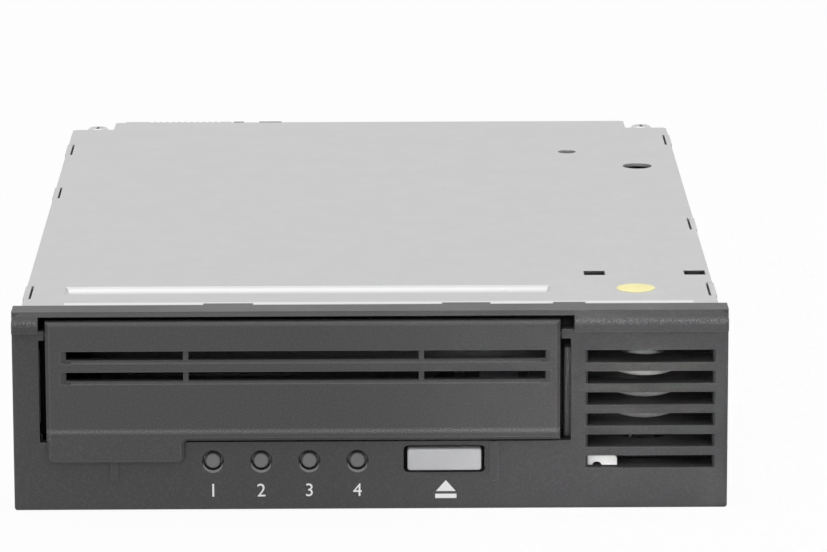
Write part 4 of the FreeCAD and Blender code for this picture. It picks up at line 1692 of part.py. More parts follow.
def pieces():
    """Every node's name and the function that makes it."""
    table = {
        "base_chassis": base_chassis, "top_cover": top_cover, "cover_screws": cover_screws,
        "inspection_dot": inspection_dot, "bezel": bezel, "door_hinge_pins": door_hinge_pins,
        "cartridge_door": cartridge_door, "door_spring": door_spring, "eject_button": eject_button,
        "eject_switch": eject_switch, "led_light_pipes": light_pipes, "status_leds": status_leds,
        "front_board": front_board, "front_board_screws": front_board_screws, "front_cable": front_cable,
        "fan_frame": fan_frame, "fan_screws": fan_screws, "fan_rotor": fan_rotor, "fan_plug": fan_plug,
        "deck_casting": deck_casting, "deck_isolators": deck_isolators, "deck_screws": deck_screws,
        "cartridge_tray": cartridge_tray, "bay_frame_left": lambda: bay_frame(-1),
        "bay_frame_right": lambda: bay_frame(1), "left_cam_slide": lambda: cam_slide(-1),
        "right_cam_slide": right_cam_slide, "slide_link": slide_link, "loader_gear": loader_gear,
        "loader_gear_post": loader_gear_post, "loader_motor": loader_motor, "loader_pinion": loader_pinion,
        "supply_motor": supply_motor, "supply_clutch": supply_clutch, "take_up_motor": take_up_motor,
        "take_up_reel": take_up_reel, "reel_upper_flange": reel_upper_flange, "roller_posts": roller_posts, "threading_arm": threading_arm,
        "arm_post": arm_post, "leader_hook": leader_hook, "head_frame": head_frame,
        "head_guide_rods": head_guide_rods, "head_carriage": head_carriage, "tape_head": tape_head,
        "head_lead_screw": head_lead_screw, "head_stepper": head_stepper, "main_board": main_board,
        "board_screws": board_screws, "board_chips": board_chips, "interface_connector": interface_connector,
        "power_connector": power_connector, "jumper_block": jumper_block, "rear_ground_clip": rear_ground_clip,
        "cartridge_sensor": cartridge_sensor,
    }
    for number, place in enumerate(ROLLERS, 1):
        table["guide_roller_%d" % number] = lambda place=place: guide_roller(place)
    return table


def save(name, shape):
    """Check a node's solids, move it into the part's frame and write its STEP file."""
    if not shape.Solids or not shape.isValid():
        raise ValueError("%s is not a valid solid" % name)
    shape.translate(V(0, SHIFT_Y, 0))
    shape.exportStep("parts/%s.step" % name)


os.makedirs("parts", exist_ok=True)
for node, make in pieces().items():
    save(node, make())
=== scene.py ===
"""Finishes, printed marks, small parts and the studio for a half-height internal tape drive."""

import math

import bmesh
import bpy
from mathutils import Matrix, Vector


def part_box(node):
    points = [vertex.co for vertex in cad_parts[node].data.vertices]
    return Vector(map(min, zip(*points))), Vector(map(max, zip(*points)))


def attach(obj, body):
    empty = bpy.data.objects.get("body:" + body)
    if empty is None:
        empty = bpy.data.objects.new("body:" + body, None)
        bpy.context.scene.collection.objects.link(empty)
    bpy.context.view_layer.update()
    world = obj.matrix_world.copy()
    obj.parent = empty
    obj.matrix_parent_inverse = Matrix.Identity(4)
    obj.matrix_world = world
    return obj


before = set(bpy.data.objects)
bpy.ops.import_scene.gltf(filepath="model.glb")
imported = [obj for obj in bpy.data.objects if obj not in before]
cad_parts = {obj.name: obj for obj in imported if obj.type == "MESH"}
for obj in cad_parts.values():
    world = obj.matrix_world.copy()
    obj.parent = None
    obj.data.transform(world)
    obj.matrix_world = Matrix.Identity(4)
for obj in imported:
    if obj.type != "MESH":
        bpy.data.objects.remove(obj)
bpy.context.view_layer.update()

bl_info = {
    "name": "Tape Drive Finishes",
    "version": (1, 0, 0),
    "blender": (4, 5, 0),
    "location": "View3D > Sidebar > Tape Drive",
    "description": "Finishes a half-height tape drive and sets it in a plain studio",
    "category": "Object",
}

MM = 0.001
BROW_PROUD = 1.3 * MM      # how far the brow stands in front of the bezel's face
BEZEL_FACE_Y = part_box("bezel")[0].y + BROW_PROUD


# ---- settings ---------------------------------------------------------------

def color_setting(name, description, default):
    """A linear RGB colour setting."""
    return bpy.props.FloatVectorProperty(
        name=name, description=description, subtype="COLOR", size=3, min=0.0, max=1.0, default=default)


def length_setting(name, description, default):
    """A length setting in metres."""
    return bpy.props.FloatProperty(
        name=name, description=description, subtype="DISTANCE", unit="LENGTH", precision=5, default=default)


def angle_setting(name, description, default):
    """An angle setting in radians."""
    return bpy.props.FloatProperty(
        name=name, description=description, subtype="ANGLE", unit="ROTATION", default=default)


def power_setting(name, description, default):
    """A lamp's power in watts, or a plain strength."""
    return bpy.props.FloatProperty(name=name, description=description, min=0.0, default=default)


class TapeDriveStudio(bpy.types.PropertyGroup):
    """Camera, lamps, floor and background."""

    lens: bpy.props.FloatProperty(
        name="Lens", description="Focal length for a 36 mm wide sensor", subtype="DISTANCE_CAMERA",
        unit="CAMERA", default=231.08)
    camera_place: bpy.props.FloatVectorProperty(
        name="Camera Place", description="Where the camera stands", subtype="TRANSLATION", unit="LENGTH",
        size=3, precision=5, default=(0.000472, -1.18211, 0.28182))
    camera_pitch: angle_setting("Camera Pitch", "How far the camera looks down", 0.21287)
    camera_yaw: angle_setting("Camera Yaw", "How far the camera looks to the right", 0.00795)
    camera_roll: angle_setting("Camera Roll", "How far the camera leans", 0.00271)
    key_power: power_setting("Key Power", "Power of the wide lamp overhead, in watts", 8.8)
    front_power: power_setting("Front Power", "Power of the soft lamp in front, in watts", 6.5)
    fill_power: power_setting("Fill Power", "Power of the lamp on the right, in watts", 2.5)
    louvre_power: power_setting(
        "Louvre Power", "Power of the narrow lamp aimed at the louvre, in watts", 0.009)
    ambient: power_setting("Ambient", "Strength of the light from all round", 0.55)
    floor_color: color_setting("Floor Color", "Colour of the pale floor", (0.86, 0.86, 0.86))
    floor_size: length_setting("Floor Size", "Width of the floor", 6.0)
    floor_white: bpy.props.FloatProperty(
        name="Floor White", description="Share of plain white seen on the floor", subtype="FACTOR",
        min=0.0, max=1.0, default=0.94)


class TapeDriveColors(bpy.types.PropertyGroup):
    """Base colours of the outer finishes."""

    sheet: color_setting("Zinc Sheet", "Zinc-coated case and cover", (0.55, 0.55, 0.555))
    bezel: color_setting("Bezel Plastic", "Moulded bezel", (0.033, 0.033, 0.034))
    door: color_setting("Door Plastic", "Moulded cartridge door", (0.040, 0.040, 0.041))
    button: color_setting("Button Plastic", "Eject button", (0.485, 0.487, 0.497))
    lens: color_setting("Lamp Lens", "Smoky indicator lenses", (0.15, 0.15, 0.15))
    dot: color_setting("Yellow Dot", "Inspection dot on the cover", (0.92, 0.86, 0.40))
    print_white: color_setting("White Print", "Numerals and eject symbol", (0.86, 0.86, 0.86))


class TapeDriveMarks(bpy.types.PropertyGroup):
    """Sizes of the printed marks on the bezel."""

    numeral_height: length_setting("Numeral Height", "Height of the lamp numerals", 2.75 * MM)
    numeral_base: length_setting("Numeral Base", "Baseline of the numerals above the underside", 2.85 * MM)
    symbol_center: length_setting(
        "Symbol Centre", "Eject symbol's centre, from the middle of the drive", 15.63 * MM)
    symbol_width: length_setting("Symbol Width", "Width of the eject symbol's bar", 4.45 * MM)
    symbol_top: length_setting("Symbol Top", "Tip of the eject triangle above the underside", 6.2 * MM)
    symbol_step: length_setting("Symbol Step", "Foot of the eject triangle above the underside", 3.83 * MM)
    bar_top: length_setting("Bar Top", "Upper edge of the symbol's bar", 3.27 * MM)
    bar_base: length_setting("Bar Base", "Lower edge of the symbol's bar", 2.33 * MM)
    ink: length_setting("Ink Thickness", "How far the print stands off the plastic", 0.02 * MM)


# ---- shader groups ----------------------------------------------------------

BEVEL_SAMPLES = 4
EDGE_MASK_GAIN = 22.0         # how soon a rounded edge counts as worn or lit
DUST_ON_WALLS = 0.15     # share of the dust that upright faces keep
DUST_CLOUDS = 90.0       # clouds of dust in a metre
CRYSTAL_RAG = 0.0015     # how far crystal borders are pushed about
RAG_DETAIL = 3.0         # how much finer than a crystal the pushing is
GLINT_START = 0.45       # grains above this height get painted glints in the band
GLINT_GAIN = 6.0
FOLD_HIGHLIGHT_GAIN = 1.6          # flattens the middle of a painted fold highlight
TRACK_FIELD = 0.25       # fields of tracks to each pitch
TRACK_LANES = 8.0
TRACK_EDGE = 0.55        # where a lane turns from gap to copper


def start_group(name, inputs, outputs):
    """A shader node group with named sockets; returns it with its input and output sockets."""
    group = bpy.data.node_groups.new(name, "ShaderNodeTree")
    for label, value in inputs:
        socket = group.interface.new_socket(label, in_out="INPUT", socket_type="NodeSocketFloat")
        socket.default_value = value
    for label in outputs:
        kind = "NodeSocketVector" if label == "Normal" else "NodeSocketFloat"
        group.interface.new_socket(label, in_out="OUTPUT", socket_type=kind)
    return group, group.nodes.new("NodeGroupInput").outputs, group.nodes.new("NodeGroupOutput").inputs


def node(tree, kind, **values):
    """A new node with some of its properties and unlinked sockets set."""
    made = tree.nodes.new(kind)
    for key, value in values.items():
        if hasattr(made, key):
            setattr(made, key, value)
        else:
            made.inputs[key.replace("_", " ").title()].default_value = value
    return made


def math_node(tree, operation, a, b=0.0):
    """A math node; each operand is a socket or a number."""
    made = tree.nodes.new("ShaderNodeMath")
    made.operation = operation
    for socket, value in zip(made.inputs, (a, b)):
        if isinstance(value, (int, float)):
            socket.default_value = value
        else:
            tree.links.new(value, socket)
    return made.outputs[0]


def vector_node(tree, operation, first, second, result="Vector"):
    """A vector math node between two sockets."""
    made = node(tree, "ShaderNodeVectorMath", operation=operation)
    tree.links.new(first, made.inputs[0])
    tree.links.new(second, made.inputs[1])
    return made.outputs[result]


def object_place(tree):
    """The place on the surface in the object's own coordinates."""
    return node(tree, "ShaderNodeTexCoord").outputs["Object"]


def texture_scale(tree, size):
    """The scale that gives a texture features of a size."""
    return math_node(tree, "DIVIDE", 1.0, size)


def add_texture(tree, kind, scale, **values):
    """A texture in the object's own coordinates, scaled by a socket."""
    made = node(tree, kind, **values)
    tree.links.new(object_place(tree), made.inputs["Vector"])
    tree.links.new(scale, made.inputs["Scale"])
    return made


def split_axes(tree, vector):
    """The X, Y and Z sockets of a vector."""
    split = node(tree, "ShaderNodeSeparateXYZ")
    tree.links.new(vector, split.inputs["Vector"])
    return split.outputs


def clamped(tree, value):
    """A value held between 0 and 1."""
    limit = node(tree, "ShaderNodeClamp")
    tree.links.new(value, limit.inputs["Value"])
    return limit.outputs["Result"]


def fade_out(tree, at, middle, half):
    """1 at the middle, 0 at half a width from it, and less beyond."""
    away = math_node(tree, "ABSOLUTE", math_node(tree, "SUBTRACT", at, middle))
    return math_node(tree, "SUBTRACT", 1.0, math_node(tree, "DIVIDE", away, half))


def grain_group():
    """Fine moulded or cast grain, with a slow drift over the whole surface."""
    group, ins, outs = start_group(
        "Surface Grain", [("Grain Size", 0.0003), ("Drift Size", 0.02)], ["Drift", "Height"])
    fine = add_texture(group, "ShaderNodeTexNoise", texture_scale(group, ins["Grain Size"]),
                       Detail=3.0, Roughness=0.6)
    slow = add_texture(group, "ShaderNodeTexNoise", texture_scale(group, ins["Drift Size"]),
                       Detail=4.0, Roughness=0.55)
    group.links.new(slow.outputs["Fac"], outs["Drift"])
    group.links.new(fine.outputs["Fac"], outs["Height"])
    return group


def rolling_group():
    """Faint straight lines left by rolling or brushing, along the Y axis."""
    group, ins, outs = start_group(
        "Rolled Lines", [("Line Width", 0.0002), ("Line Length", 0.03)], ["Tone", "Height"])
    across = texture_scale(group, ins["Line Width"])
    along = texture_scale(group, ins["Line Length"])
    stretch = node(group, "ShaderNodeCombineXYZ")
    for axis, value in (("X", across), ("Y", along), ("Z", across)):
        group.links.new(value, stretch.inputs[axis])
    scaled = vector_node(group, "MULTIPLY", object_place(group), stretch.outputs["Vector"])
    lines = node(group, "ShaderNodeTexNoise", Scale=1.0, Detail=4.0, Roughness=0.65)
    group.links.new(scaled, lines.inputs["Vector"])
    group.links.new(lines.outputs["Fac"], outs["Tone"])
    group.links.new(lines.outputs["Fac"], outs["Height"])
    return group


def spangle_group():
    """Patches of slightly different tone, as zinc crystals show."""
    group, ins, outs = start_group("Zinc Spangle", [("Crystal Size", 0.004)], ["Tone"])
    scale = texture_scale(group, ins["Crystal Size"])
    ragged = add_texture(group, "ShaderNodeTexNoise", math_node(group, "MULTIPLY", scale, RAG_DETAIL),
                         Detail=2.0)
    shift = node(group, "ShaderNodeVectorMath", operation="SCALE", Scale=CRYSTAL_RAG)
    group.links.new(ragged.outputs["Color"], shift.inputs[0])
    moved = vector_node(group, "ADD", object_place(group), shift.outputs["Vector"])
    crystals = node(group, "ShaderNodeTexVoronoi")
    group.links.new(moved, crystals.inputs["Vector"])
    group.links.new(scale, crystals.inputs["Scale"])
    split = node(group, "ShaderNodeSeparateColor")
    group.links.new(crystals.outputs["Color"], split.inputs["Color"])
    group.links.new(split.outputs[0], outs["Tone"])
    return group


def edge_group():
    """Softened edges, and a broken mask of the edges, for wear and for painted highlights on lit edges."""
    group, ins, outs = start_group(
        "Worn Edges", [("Edge Radius", 0.0002), ("Patch Size", 0.002)], ["Mask", "Normal"])
    soft = node(group, "ShaderNodeBevel", samples=BEVEL_SAMPLES)
    group.links.new(ins["Edge Radius"], soft.inputs["Radius"])
    flat = node(group, "ShaderNodeNewGeometry")
    same = vector_node(group, "DOT_PRODUCT", soft.outputs["Normal"], flat.outputs["Normal"], "Value")
    bend = math_node(group, "SUBTRACT", 1.0, same)
    patch = add_texture(group, "ShaderNodeTexNoise", texture_scale(group, ins["Patch Size"]), Detail=3.0)
    gain = math_node(group, "MULTIPLY", patch.outputs["Fac"], EDGE_MASK_GAIN)
    group.links.new(clamped(group, math_node(group, "MULTIPLY", bend, gain)), outs["Mask"])
    group.links.new(soft.outputs["Normal"], outs["Normal"])
    return group


def dust_group():
    """Thin uneven dust on what faces up."""
    group, ins, outs = start_group("Dust Film", [("Amount", 0.1)], ["Mask"])
    flat = node(group, "ShaderNodeNewGeometry")
    up = math_node(group, "MAXIMUM", split_axes(group, flat.outputs["Normal"])["Z"], DUST_ON_WALLS)
    cloud = node(group, "ShaderNodeTexNoise", Scale=DUST_CLOUDS, Detail=6.0, Roughness=0.7)
    group.links.new(object_place(group), cloud.inputs["Vector"])
    thick = math_node(group, "MULTIPLY", up, cloud.outputs["Fac"])
    group.links.new(math_node(group, "MULTIPLY", thick, ins["Amount"]), outs["Mask"])
    return group


def tracks_group():
    """Printed copper tracks under a circuit board's solder mask."""
    group, ins, outs = start_group("Board Tracks", [("Pitch", 0.0012)], ["Mask", "Height"])
    fields = math_node(group, "MULTIPLY", texture_scale(group, ins["Pitch"]), TRACK_FIELD)
    cells = add_texture(group, "ShaderNodeTexVoronoi", fields, feature="F1", distance="MANHATTAN")
    lanes = math_node(group, "MULTIPLY", cells.outputs["Distance"], TRACK_LANES)
    rows = math_node(group, "PINGPONG", lanes, 1.0)
    group.links.new(math_node(group, "GREATER_THAN", rows, TRACK_EDGE), outs["Mask"])
    group.links.new(rows, outs["Height"])
    return group


def glint_band_group():
    """A level band of painted glints, broken up into grains."""
    group, ins, outs = start_group(
        "Rubbed Band", [("Level", 0.017), ("Half Width", 0.0006), ("Grain Size", 0.0003)], ["Mask"])
    height = split_axes(group, object_place(group))["Z"]
    fade = math_node(group, "MAXIMUM", fade_out(group, height, ins["Level"], ins["Half Width"]), 0.0)
    grains = add_texture(group, "ShaderNodeTexNoise", texture_scale(group, ins["Grain Size"]),
                         Detail=2.0, Roughness=0.7)
    above = math_node(group, "SUBTRACT", grains.outputs["Fac"], GLINT_START)
    sharp = math_node(group, "MULTIPLY", above, GLINT_GAIN)
    group.links.new(clamped(group, math_node(group, "MULTIPLY", fade, sharp)), outs["Mask"])
    return group


def fold_highlight_group():
    """A painted highlight: a bright line along X where a sheet starts to fold down."""
    group, ins, outs = start_group(
        "Folded Line", [("Place", 0.0), ("Start", -0.06), ("End", 0.06), ("Half Width", 0.0015)], ["Mask"])
    axes = split_axes(group, object_place(group))
    fade = fade_out(group, axes["Y"], ins["Place"], ins["Half Width"])
    bright = math_node(group, "MULTIPLY", fade, FOLD_HIGHLIGHT_GAIN)
    inside = math_node(group, "MULTIPLY", math_node(group, "GREATER_THAN", axes["X"], ins["Start"]),
                       math_node(group, "LESS_THAN", axes["X"], ins["End"]))
    group.links.new(clamped(group, math_node(group, "MULTIPLY", bright, inside)), outs["Mask"])
    return group


GROUP_MAKERS = {
    "Surface Grain": grain_group, "Rolled Lines": rolling_group, "Zinc Spangle": spangle_group,
    "Worn Edges": edge_group, "Dust Film": dust_group, "Board Tracks": tracks_group,
    "Rubbed Band": glint_band_group, "Folded Line": fold_highlight_group,
}


def place_group(tree, name, **values):
    """An instance of a shared shader group with its own values; returns its output sockets."""
    shared = bpy.data.node_groups.get(name) or GROUP_MAKERS[name]()
    made = tree.nodes.new("ShaderNodeGroup")
    made.node_tree = shared
    for key, value in values.items():
        made.inputs[key.replace("_", " ")].default_value = value
    return made.outputs


# ---- materials --------------------------------------------------------------

DRIFT_SIZE = 18 * MM
EDGE_PATCH = 1.5 * MM
CRYSTAL_SIZE = 3.2 * MM
GLINT_BAND_GRAIN = 0.2 * MM
WEAR_AND_HIGHLIGHT_LIFT = 3.2          # each lift or drop multiplies the base colour
GLINT_BAND_LIFT = 6.0
SPECKLE_GLINT_LIFT = 2.6
CRYSTAL_DROP = 0.82
LINE_DROP = 0.8
SPECKLE_SPAN = (0.46, 0.72)              # grain heights from the first speckle to a full one
ROUGH_DRIFT = 0.12       # share by which roughness drifts either way
COAT_ROUGH = 0.12
DUST_COLOR = (0.42, 0.40, 0.37)
# White of the painted highlights along the cover's folds.
FOLD_HIGHLIGHT_COLOR = (1.0, 1.0, 1.0)

MASK_COLOR, TRACK_COLOR, STAIN_COLOR = (0.012, 0.085, 0.035), (0.02, 0.15, 0.06), (0.01, 0.06, 0.03)
BOARD_STAIN, BOARD_ROUGH = 0.3, (0.28, 0.4)
TRACK_PITCH, TRACK_RELIEF = 1.1 * MM, 0.02 * MM
BOARD_GRAIN, BOARD_DRIFT, BOARD_EDGE, BOARD_PATCH = 0.2 * MM, 12 * MM, 0.1 * MM, 1.0 * MM

SHEET = dict(color="sheet", rough=0.44, metallic=0.92, grain=0.5, bump=0.004, drift=0.015, spangle=0.10,
             lines=(0.5, 70.0, 0.05), dust=0.03, edge=0.2)

# A colour is a linear RGB triple or the name of a colour setting.
FINISHES = {
    "Zinc Sheet": SHEET,
    "Contact Strip": dict(color=(0.5, 0.5, 0.5), rough=0.3, metallic=1.0, grain=0.1, bump=0.002),
    "Yellow Dot": dict(color="dot", rough=0.5, grain=0.08, bump=0.003, drift=0.02, edge=0.02),
    # On the bezel and the door, the bands are painted glints along the brow and the crease, the lighter edges
    # are painted highlights, and the lighter grains are partly painted glints.
    "Bezel Plastic": dict(color="bezel", rough=0.46, grain=0.4, bump=0.07, drift=0.05, worn=0.8, edge=0.34,
                          dust=0.02, speckle_and_glint=0.4, glint_bands=((40.3, 0.9),)),
    "Door Plastic": dict(color="door", rough=0.46, grain=0.4, bump=0.07, drift=0.05, worn=0.9, edge=0.35,
                         dust=0.02, speckle_and_glint=0.4, glint_bands=((17.3, 0.7),)),
    "Button Plastic": dict(color="button", rough=0.38, grain=0.2, bump=0.006, drift=0.02, edge=0.25,
                           dust=0.02),
    "Lamp Lens": dict(color="lens", rough=0.22, grain=0.4, bump=0.004, drift=0.05, coat=0.6,
                      transmission=0.15, edge=0.2),
    # Lighter grey of the painted highlights in the lens sinks.
    "Lens Rim": dict(color=(0.22, 0.22, 0.222), rough=0.4, grain=0.2, bump=0.004, drift=0.05, edge=0.05),
    "Chip Light": dict(color=(0.8, 0.78, 0.62), rough=0.3, grain=0.1, bump=0.002),
    "White Print": dict(color="print_white", rough=0.6, grain=0.12, bump=0.003, drift=0.03, edge=0.01,
                        specular=0.2),
    "Blackened Steel": dict(color=(0.05, 0.05, 0.052), rough=0.38, metallic=1.0, grain=0.15, bump=0.003,
                            drift=0.08, edge=0.1),
    "Bright Steel": dict(color=(0.62, 0.62, 0.63), rough=0.3, metallic=1.0, grain=0.15, bump=0.002,
                         drift=0.05, lines=(0.12, 6.0, 0.2), edge=0.12),
    "Phosphated Steel": dict(color=(0.13, 0.13, 0.135), rough=0.5, metallic=0.9, bump=0.004,
                             drift=0.08),
    "Cast Aluminium": dict(color=(0.42, 0.42, 0.42), rough=0.6, metallic=0.9, grain=0.5, bump=0.03,
                           drift=0.08, speckle_and_glint=0.12, edge=0.4),
    "Milled Aluminium": dict(color=(0.74, 0.74, 0.75), rough=0.26, metallic=1.0, grain=0.1, bump=0.002,
                             drift=0.04, lines=(0.06, 1.2, 0.25)),
    "Hub Cap": dict(color=(0.52, 0.52, 0.53), rough=0.5, metallic=0.85, bump=0.004, drift=0.05, edge=0.2),
    "Brass": dict(color=(0.75, 0.55, 0.25), rough=0.25, metallic=1.0, grain=0.1, bump=0.002,
                  lines=(0.05, 1.0, 0.2), edge=0.1),
    "Gold Plate": dict(color=(0.86, 0.64, 0.28), rough=0.22, metallic=1.0, grain=0.08, bump=0.001, drift=0.04,
                       edge=0.05),
    # Black for pieces that stand in for shade: painted shade behind the door's gaps and round the button.
    "Seal Foam": dict(color=(0.012, 0.012, 0.012), rough=0.9, grain=0.35, bump=0.03, drift=0.1, specular=0.1),
    "Black Rubber": dict(color=(0.02, 0.02, 0.02), rough=0.8, grain=0.2, bump=0.02, drift=0.1),
    "Black Nylon": dict(color=(0.022, 0.022, 0.023), rough=0.5, grain=0.2, bump=0.008, drift=0.15, worn=0.15),
    "White Nylon": dict(color=(0.76, 0.76, 0.73), rough=0.42, bump=0.006, drift=0.03, edge=0.2),
    "Plug Housing": dict(color=(0.93, 0.93, 0.92), rough=0.4, bump=0.006, drift=0.02, edge=0.2),
    "Vane Plastic": dict(color=(0.075, 0.075, 0.077), rough=0.5, grain=0.4, bump=0.02, drift=0.05,
                         speckle_and_glint=0.3, edge=0.1),
    "Acetal": dict(color=(0.72, 0.71, 0.67), rough=0.3, bump=0.004, drift=0.03, edge=0.12),
    "Reel Plastic": dict(color=(0.13, 0.14, 0.15), rough=0.3, grain=0.4, bump=0.004, drift=0.05, coat=0.2,
                         edge=0.2),
    "Head Ceramic": dict(color=(0.07, 0.06, 0.055), rough=0.16, grain=0.2, bump=0.001, drift=0.05, coat=0.5),
    "Chip Epoxy": dict(color=(0.02, 0.02, 0.021), rough=0.48, grain=0.12, bump=0.006, drift=0.08),
    "Chip Ceramic": dict(color=(0.30, 0.21, 0.13), rough=0.5, grain=0.1, bump=0.002, drift=0.2),
    "Flat Cable": dict(color=(0.4, 0.4, 0.42), rough=0.45, bump=0.004, drift=0.03, lines=(0.9, 300.0, 0.5)),
}


def blend_color(tree, factor, first, second):
    """A colour between two sockets or colours, by a factor socket."""
    mix = tree.nodes.new("ShaderNodeMix")
    mix.data_type = "RGBA"
    tree.links.new(factor, mix.inputs["Factor"])
    for socket, value in ((mix.inputs[6], first), (mix.inputs[7], second)):
        if isinstance(value, bpy.types.NodeSocket):
            tree.links.new(value, socket)
        else:
            socket.default_value = (*value, 1.0)
    return mix.outputs[2]


def spread(tree, value, low, high, first=0.25, last=0.75):
    """A socket's span from first to last mapped to a range."""
    ranged = tree.nodes.new("ShaderNodeMapRange")
    tree.links.new(value, ranged.inputs["Value"])
    ranged.inputs["From Min"].default_value = first
    ranged.inputs["From Max"].default_value = last
    ranged.inputs["To Min"].default_value = low
    ranged.inputs["To Max"].default_value = high
    return ranged.outputs["Result"]


def shade(color, factor):
    """A colour made lighter or darker."""
    return tuple(min(1.0, channel * factor) for channel in color)


def start_material(name):
    """An empty node material with its Principled shader linked to the output."""
    made = bpy.data.materials.new(name)
    made.use_nodes = True
    tree = made.node_tree
    tree.nodes.clear()
    shader = tree.nodes.new("ShaderNodeBsdfPrincipled")
    output = tree.nodes.new("ShaderNodeOutputMaterial")
    tree.links.new(shader.outputs["BSDF"], output.inputs["Surface"])
    return made, tree, shader


def add_relief(tree, shader, height, edge_normal, bump):
    """A bump of some depth in metres over the softened edges."""
    relief = node(tree, "ShaderNodeBump", Strength=1.0, Distance=bump)
    tree.links.new(height, relief.inputs["Height"])
    tree.links.new(edge_normal, relief.inputs["Normal"])
    tree.links.new(relief.outputs["Normal"], shader.inputs["Normal"])


def make_finish(name, color, rough, metallic=0.0, grain=0.3, bump=0.01, drift=0.06, worn=0.0, dust=0.0,
                lines=None, spangle=0.0, specular=0.5, edge=0.15, coat=0.0, transmission=0.0, speckle_and_glint=0.0,
                glint_bands=(), fold_highlights=()):
    """The material of one surface finish.

    Sizes are in millimetres: grain and bump, the radius of softened edges (edge), the
    width and length of rolled lines (lines, followed by their strength) and the level and
    half width of each band of painted glints (glint_bands). Each entry of fold_highlights is a
    painted highlight along a folded line: its place along Y, both ends along X and its half
    width in metres, and its strength.
    """
    if isinstance(color, str):
        color = tuple(getattr(bpy.context.scene.tape_drive_colors, color))
    made, tree, shader = start_material(name)
    surface = place_group(tree, "Surface Grain", Grain_Size=grain * MM, Drift_Size=DRIFT_SIZE)
    edges = place_group(tree, "Worn Edges", Edge_Radius=edge * MM, Patch_Size=EDGE_PATCH)
    tone = blend_color(tree, surface["Drift"], shade(color, 1 - drift), shade(color, 1 + drift))
    height = surface["Height"]
    # Lighter grains: grain tone, partly painted glints on the grain.
    if speckle_and_glint:
        speckle_glint = spread(tree, height, 0.0, speckle_and_glint, *SPECKLE_SPAN)
        tone = blend_color(tree, speckle_glint, tone, shade(color, SPECKLE_GLINT_LIFT))
    if spangle:
        crystals = place_group(tree, "Zinc Spangle", Crystal_Size=CRYSTAL_SIZE)
        patch = spread(tree, crystals["Tone"], 0.0, spangle)
        tone = blend_color(tree, patch, tone, shade(color, CRYSTAL_DROP))
    if lines:
        width, length, strength = lines
        rolled = place_group(tree, "Rolled Lines", Line_Width=width * MM, Line_Length=length * MM)
        streak = spread(tree, rolled["Tone"], 0.0, strength)
        tone = blend_color(tree, streak, tone, shade(color, LINE_DROP))
        height = math_node(tree, "ADD", height, rolled["Height"])
    # Lighter edges: edge wear, and on the bezel and the door painted highlights of lit edges.
    if worn:
        edge_tone = math_node(tree, "MULTIPLY", edges["Mask"], worn)
        tone = blend_color(tree, edge_tone, tone, shade(color, WEAR_AND_HIGHLIGHT_LIFT))
    # Painted glints: grains in a level band lifted towards a much lighter colour.
    for level, half in glint_bands:
        band = place_group(tree, "Rubbed Band", Level=level * MM, Half_Width=half * MM,
                           Grain_Size=GLINT_BAND_GRAIN)
        tone = blend_color(tree, band["Mask"], tone, shade(color, GLINT_BAND_LIFT))
    # Painted highlights along folded lines, blended towards white.
    for place, start, end, half, strength in fold_highlights:
        fold = place_group(tree, "Folded Line", Place=place, Start=start, End=end, Half_Width=half)
        tone = blend_color(tree, math_node(tree, "MULTIPLY", fold["Mask"], strength), tone, FOLD_HIGHLIGHT_COLOR)
    if dust:
        film = place_group(tree, "Dust Film", Amount=dust)
        tone = blend_color(tree, film["Mask"], tone, DUST_COLOR)
    tree.links.new(tone, shader.inputs["Base Color"])
    roughness = spread(tree, surface["Drift"], rough * (1 - ROUGH_DRIFT), min(1.0, rough * (1 + ROUGH_DRIFT)))
    tree.links.new(roughness, shader.inputs["Roughness"])
    add_relief(tree, shader, height, edges["Normal"], bump * MM)
    shader.inputs["Metallic"].default_value = metallic
    shader.inputs["Specular IOR Level"].default_value = specular
    shader.inputs["Coat Weight"].default_value = coat
    shader.inputs["Coat Roughness"].default_value = COAT_ROUGH
    shader.inputs["Transmission Weight"].default_value = transmission
    made.diffuse_color = (*color, 1.0)
    return made


def finish(name):
    """A listed finish, made when it is first asked for."""
    return bpy.data.materials.get(name) or make_finish(name, **FINISHES[name])


def board_material():
    """Green solder mask over copper tracks."""
    made, tree, shader = start_material("Board Green")
    tracks = place_group(tree, "Board Tracks", Pitch=TRACK_PITCH)
    surface = place_group(tree, "Surface Grain", Grain_Size=BOARD_GRAIN, Drift_Size=BOARD_DRIFT)
    edges = place_group(tree, "Worn Edges", Edge_Radius=BOARD_EDGE, Patch_Size=BOARD_PATCH)
    tone = blend_color(tree, tracks["Mask"], MASK_COLOR, TRACK_COLOR)
    tone = blend_color(tree, spread(tree, surface["Drift"], 0.0, BOARD_STAIN), tone, STAIN_COLOR)
    tree.links.new(tone, shader.inputs["Base Color"])
    tree.links.new(spread(tree, surface["Drift"], *BOARD_ROUGH), shader.inputs["Roughness"])
    add_relief(tree, shader, tracks["Height"], edges["Normal"], TRACK_RELIEF)
    return made


# ---- making pieces ----------------------------------------------------------

BEVEL_STEPS = 2
WELD = 1e-6              # corners nearer than this are one corner
SMOOTH_ANGLE = 35.0


def coat_nodes(material, *names):
    """Give CAD nodes one material."""
    for name in names:
        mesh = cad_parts[name].data
        mesh.materials.clear()
        mesh.materials.append(material)


def new_piece(name, bm, material, body="drive", smooth_angle=SMOOTH_ANGLE):
    """Turn a bmesh in the row frame into a piece that rides on a body."""
    mesh = bpy.data.meshes.new(name)
    bmesh.ops.recalc_face_normals(bm, faces=bm.faces)
    bm.to_mesh(mesh)
    bm.free()
    mesh.materials.append(material)
    mesh.polygons.foreach_set("use_smooth", [True] * len(mesh.polygons))
    mesh.set_sharp_from_angle(angle=math.radians(smooth_angle))
    made = bpy.data.objects.new(name, mesh)
    bpy.context.scene.collection.objects.link(made)
    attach(made, body)


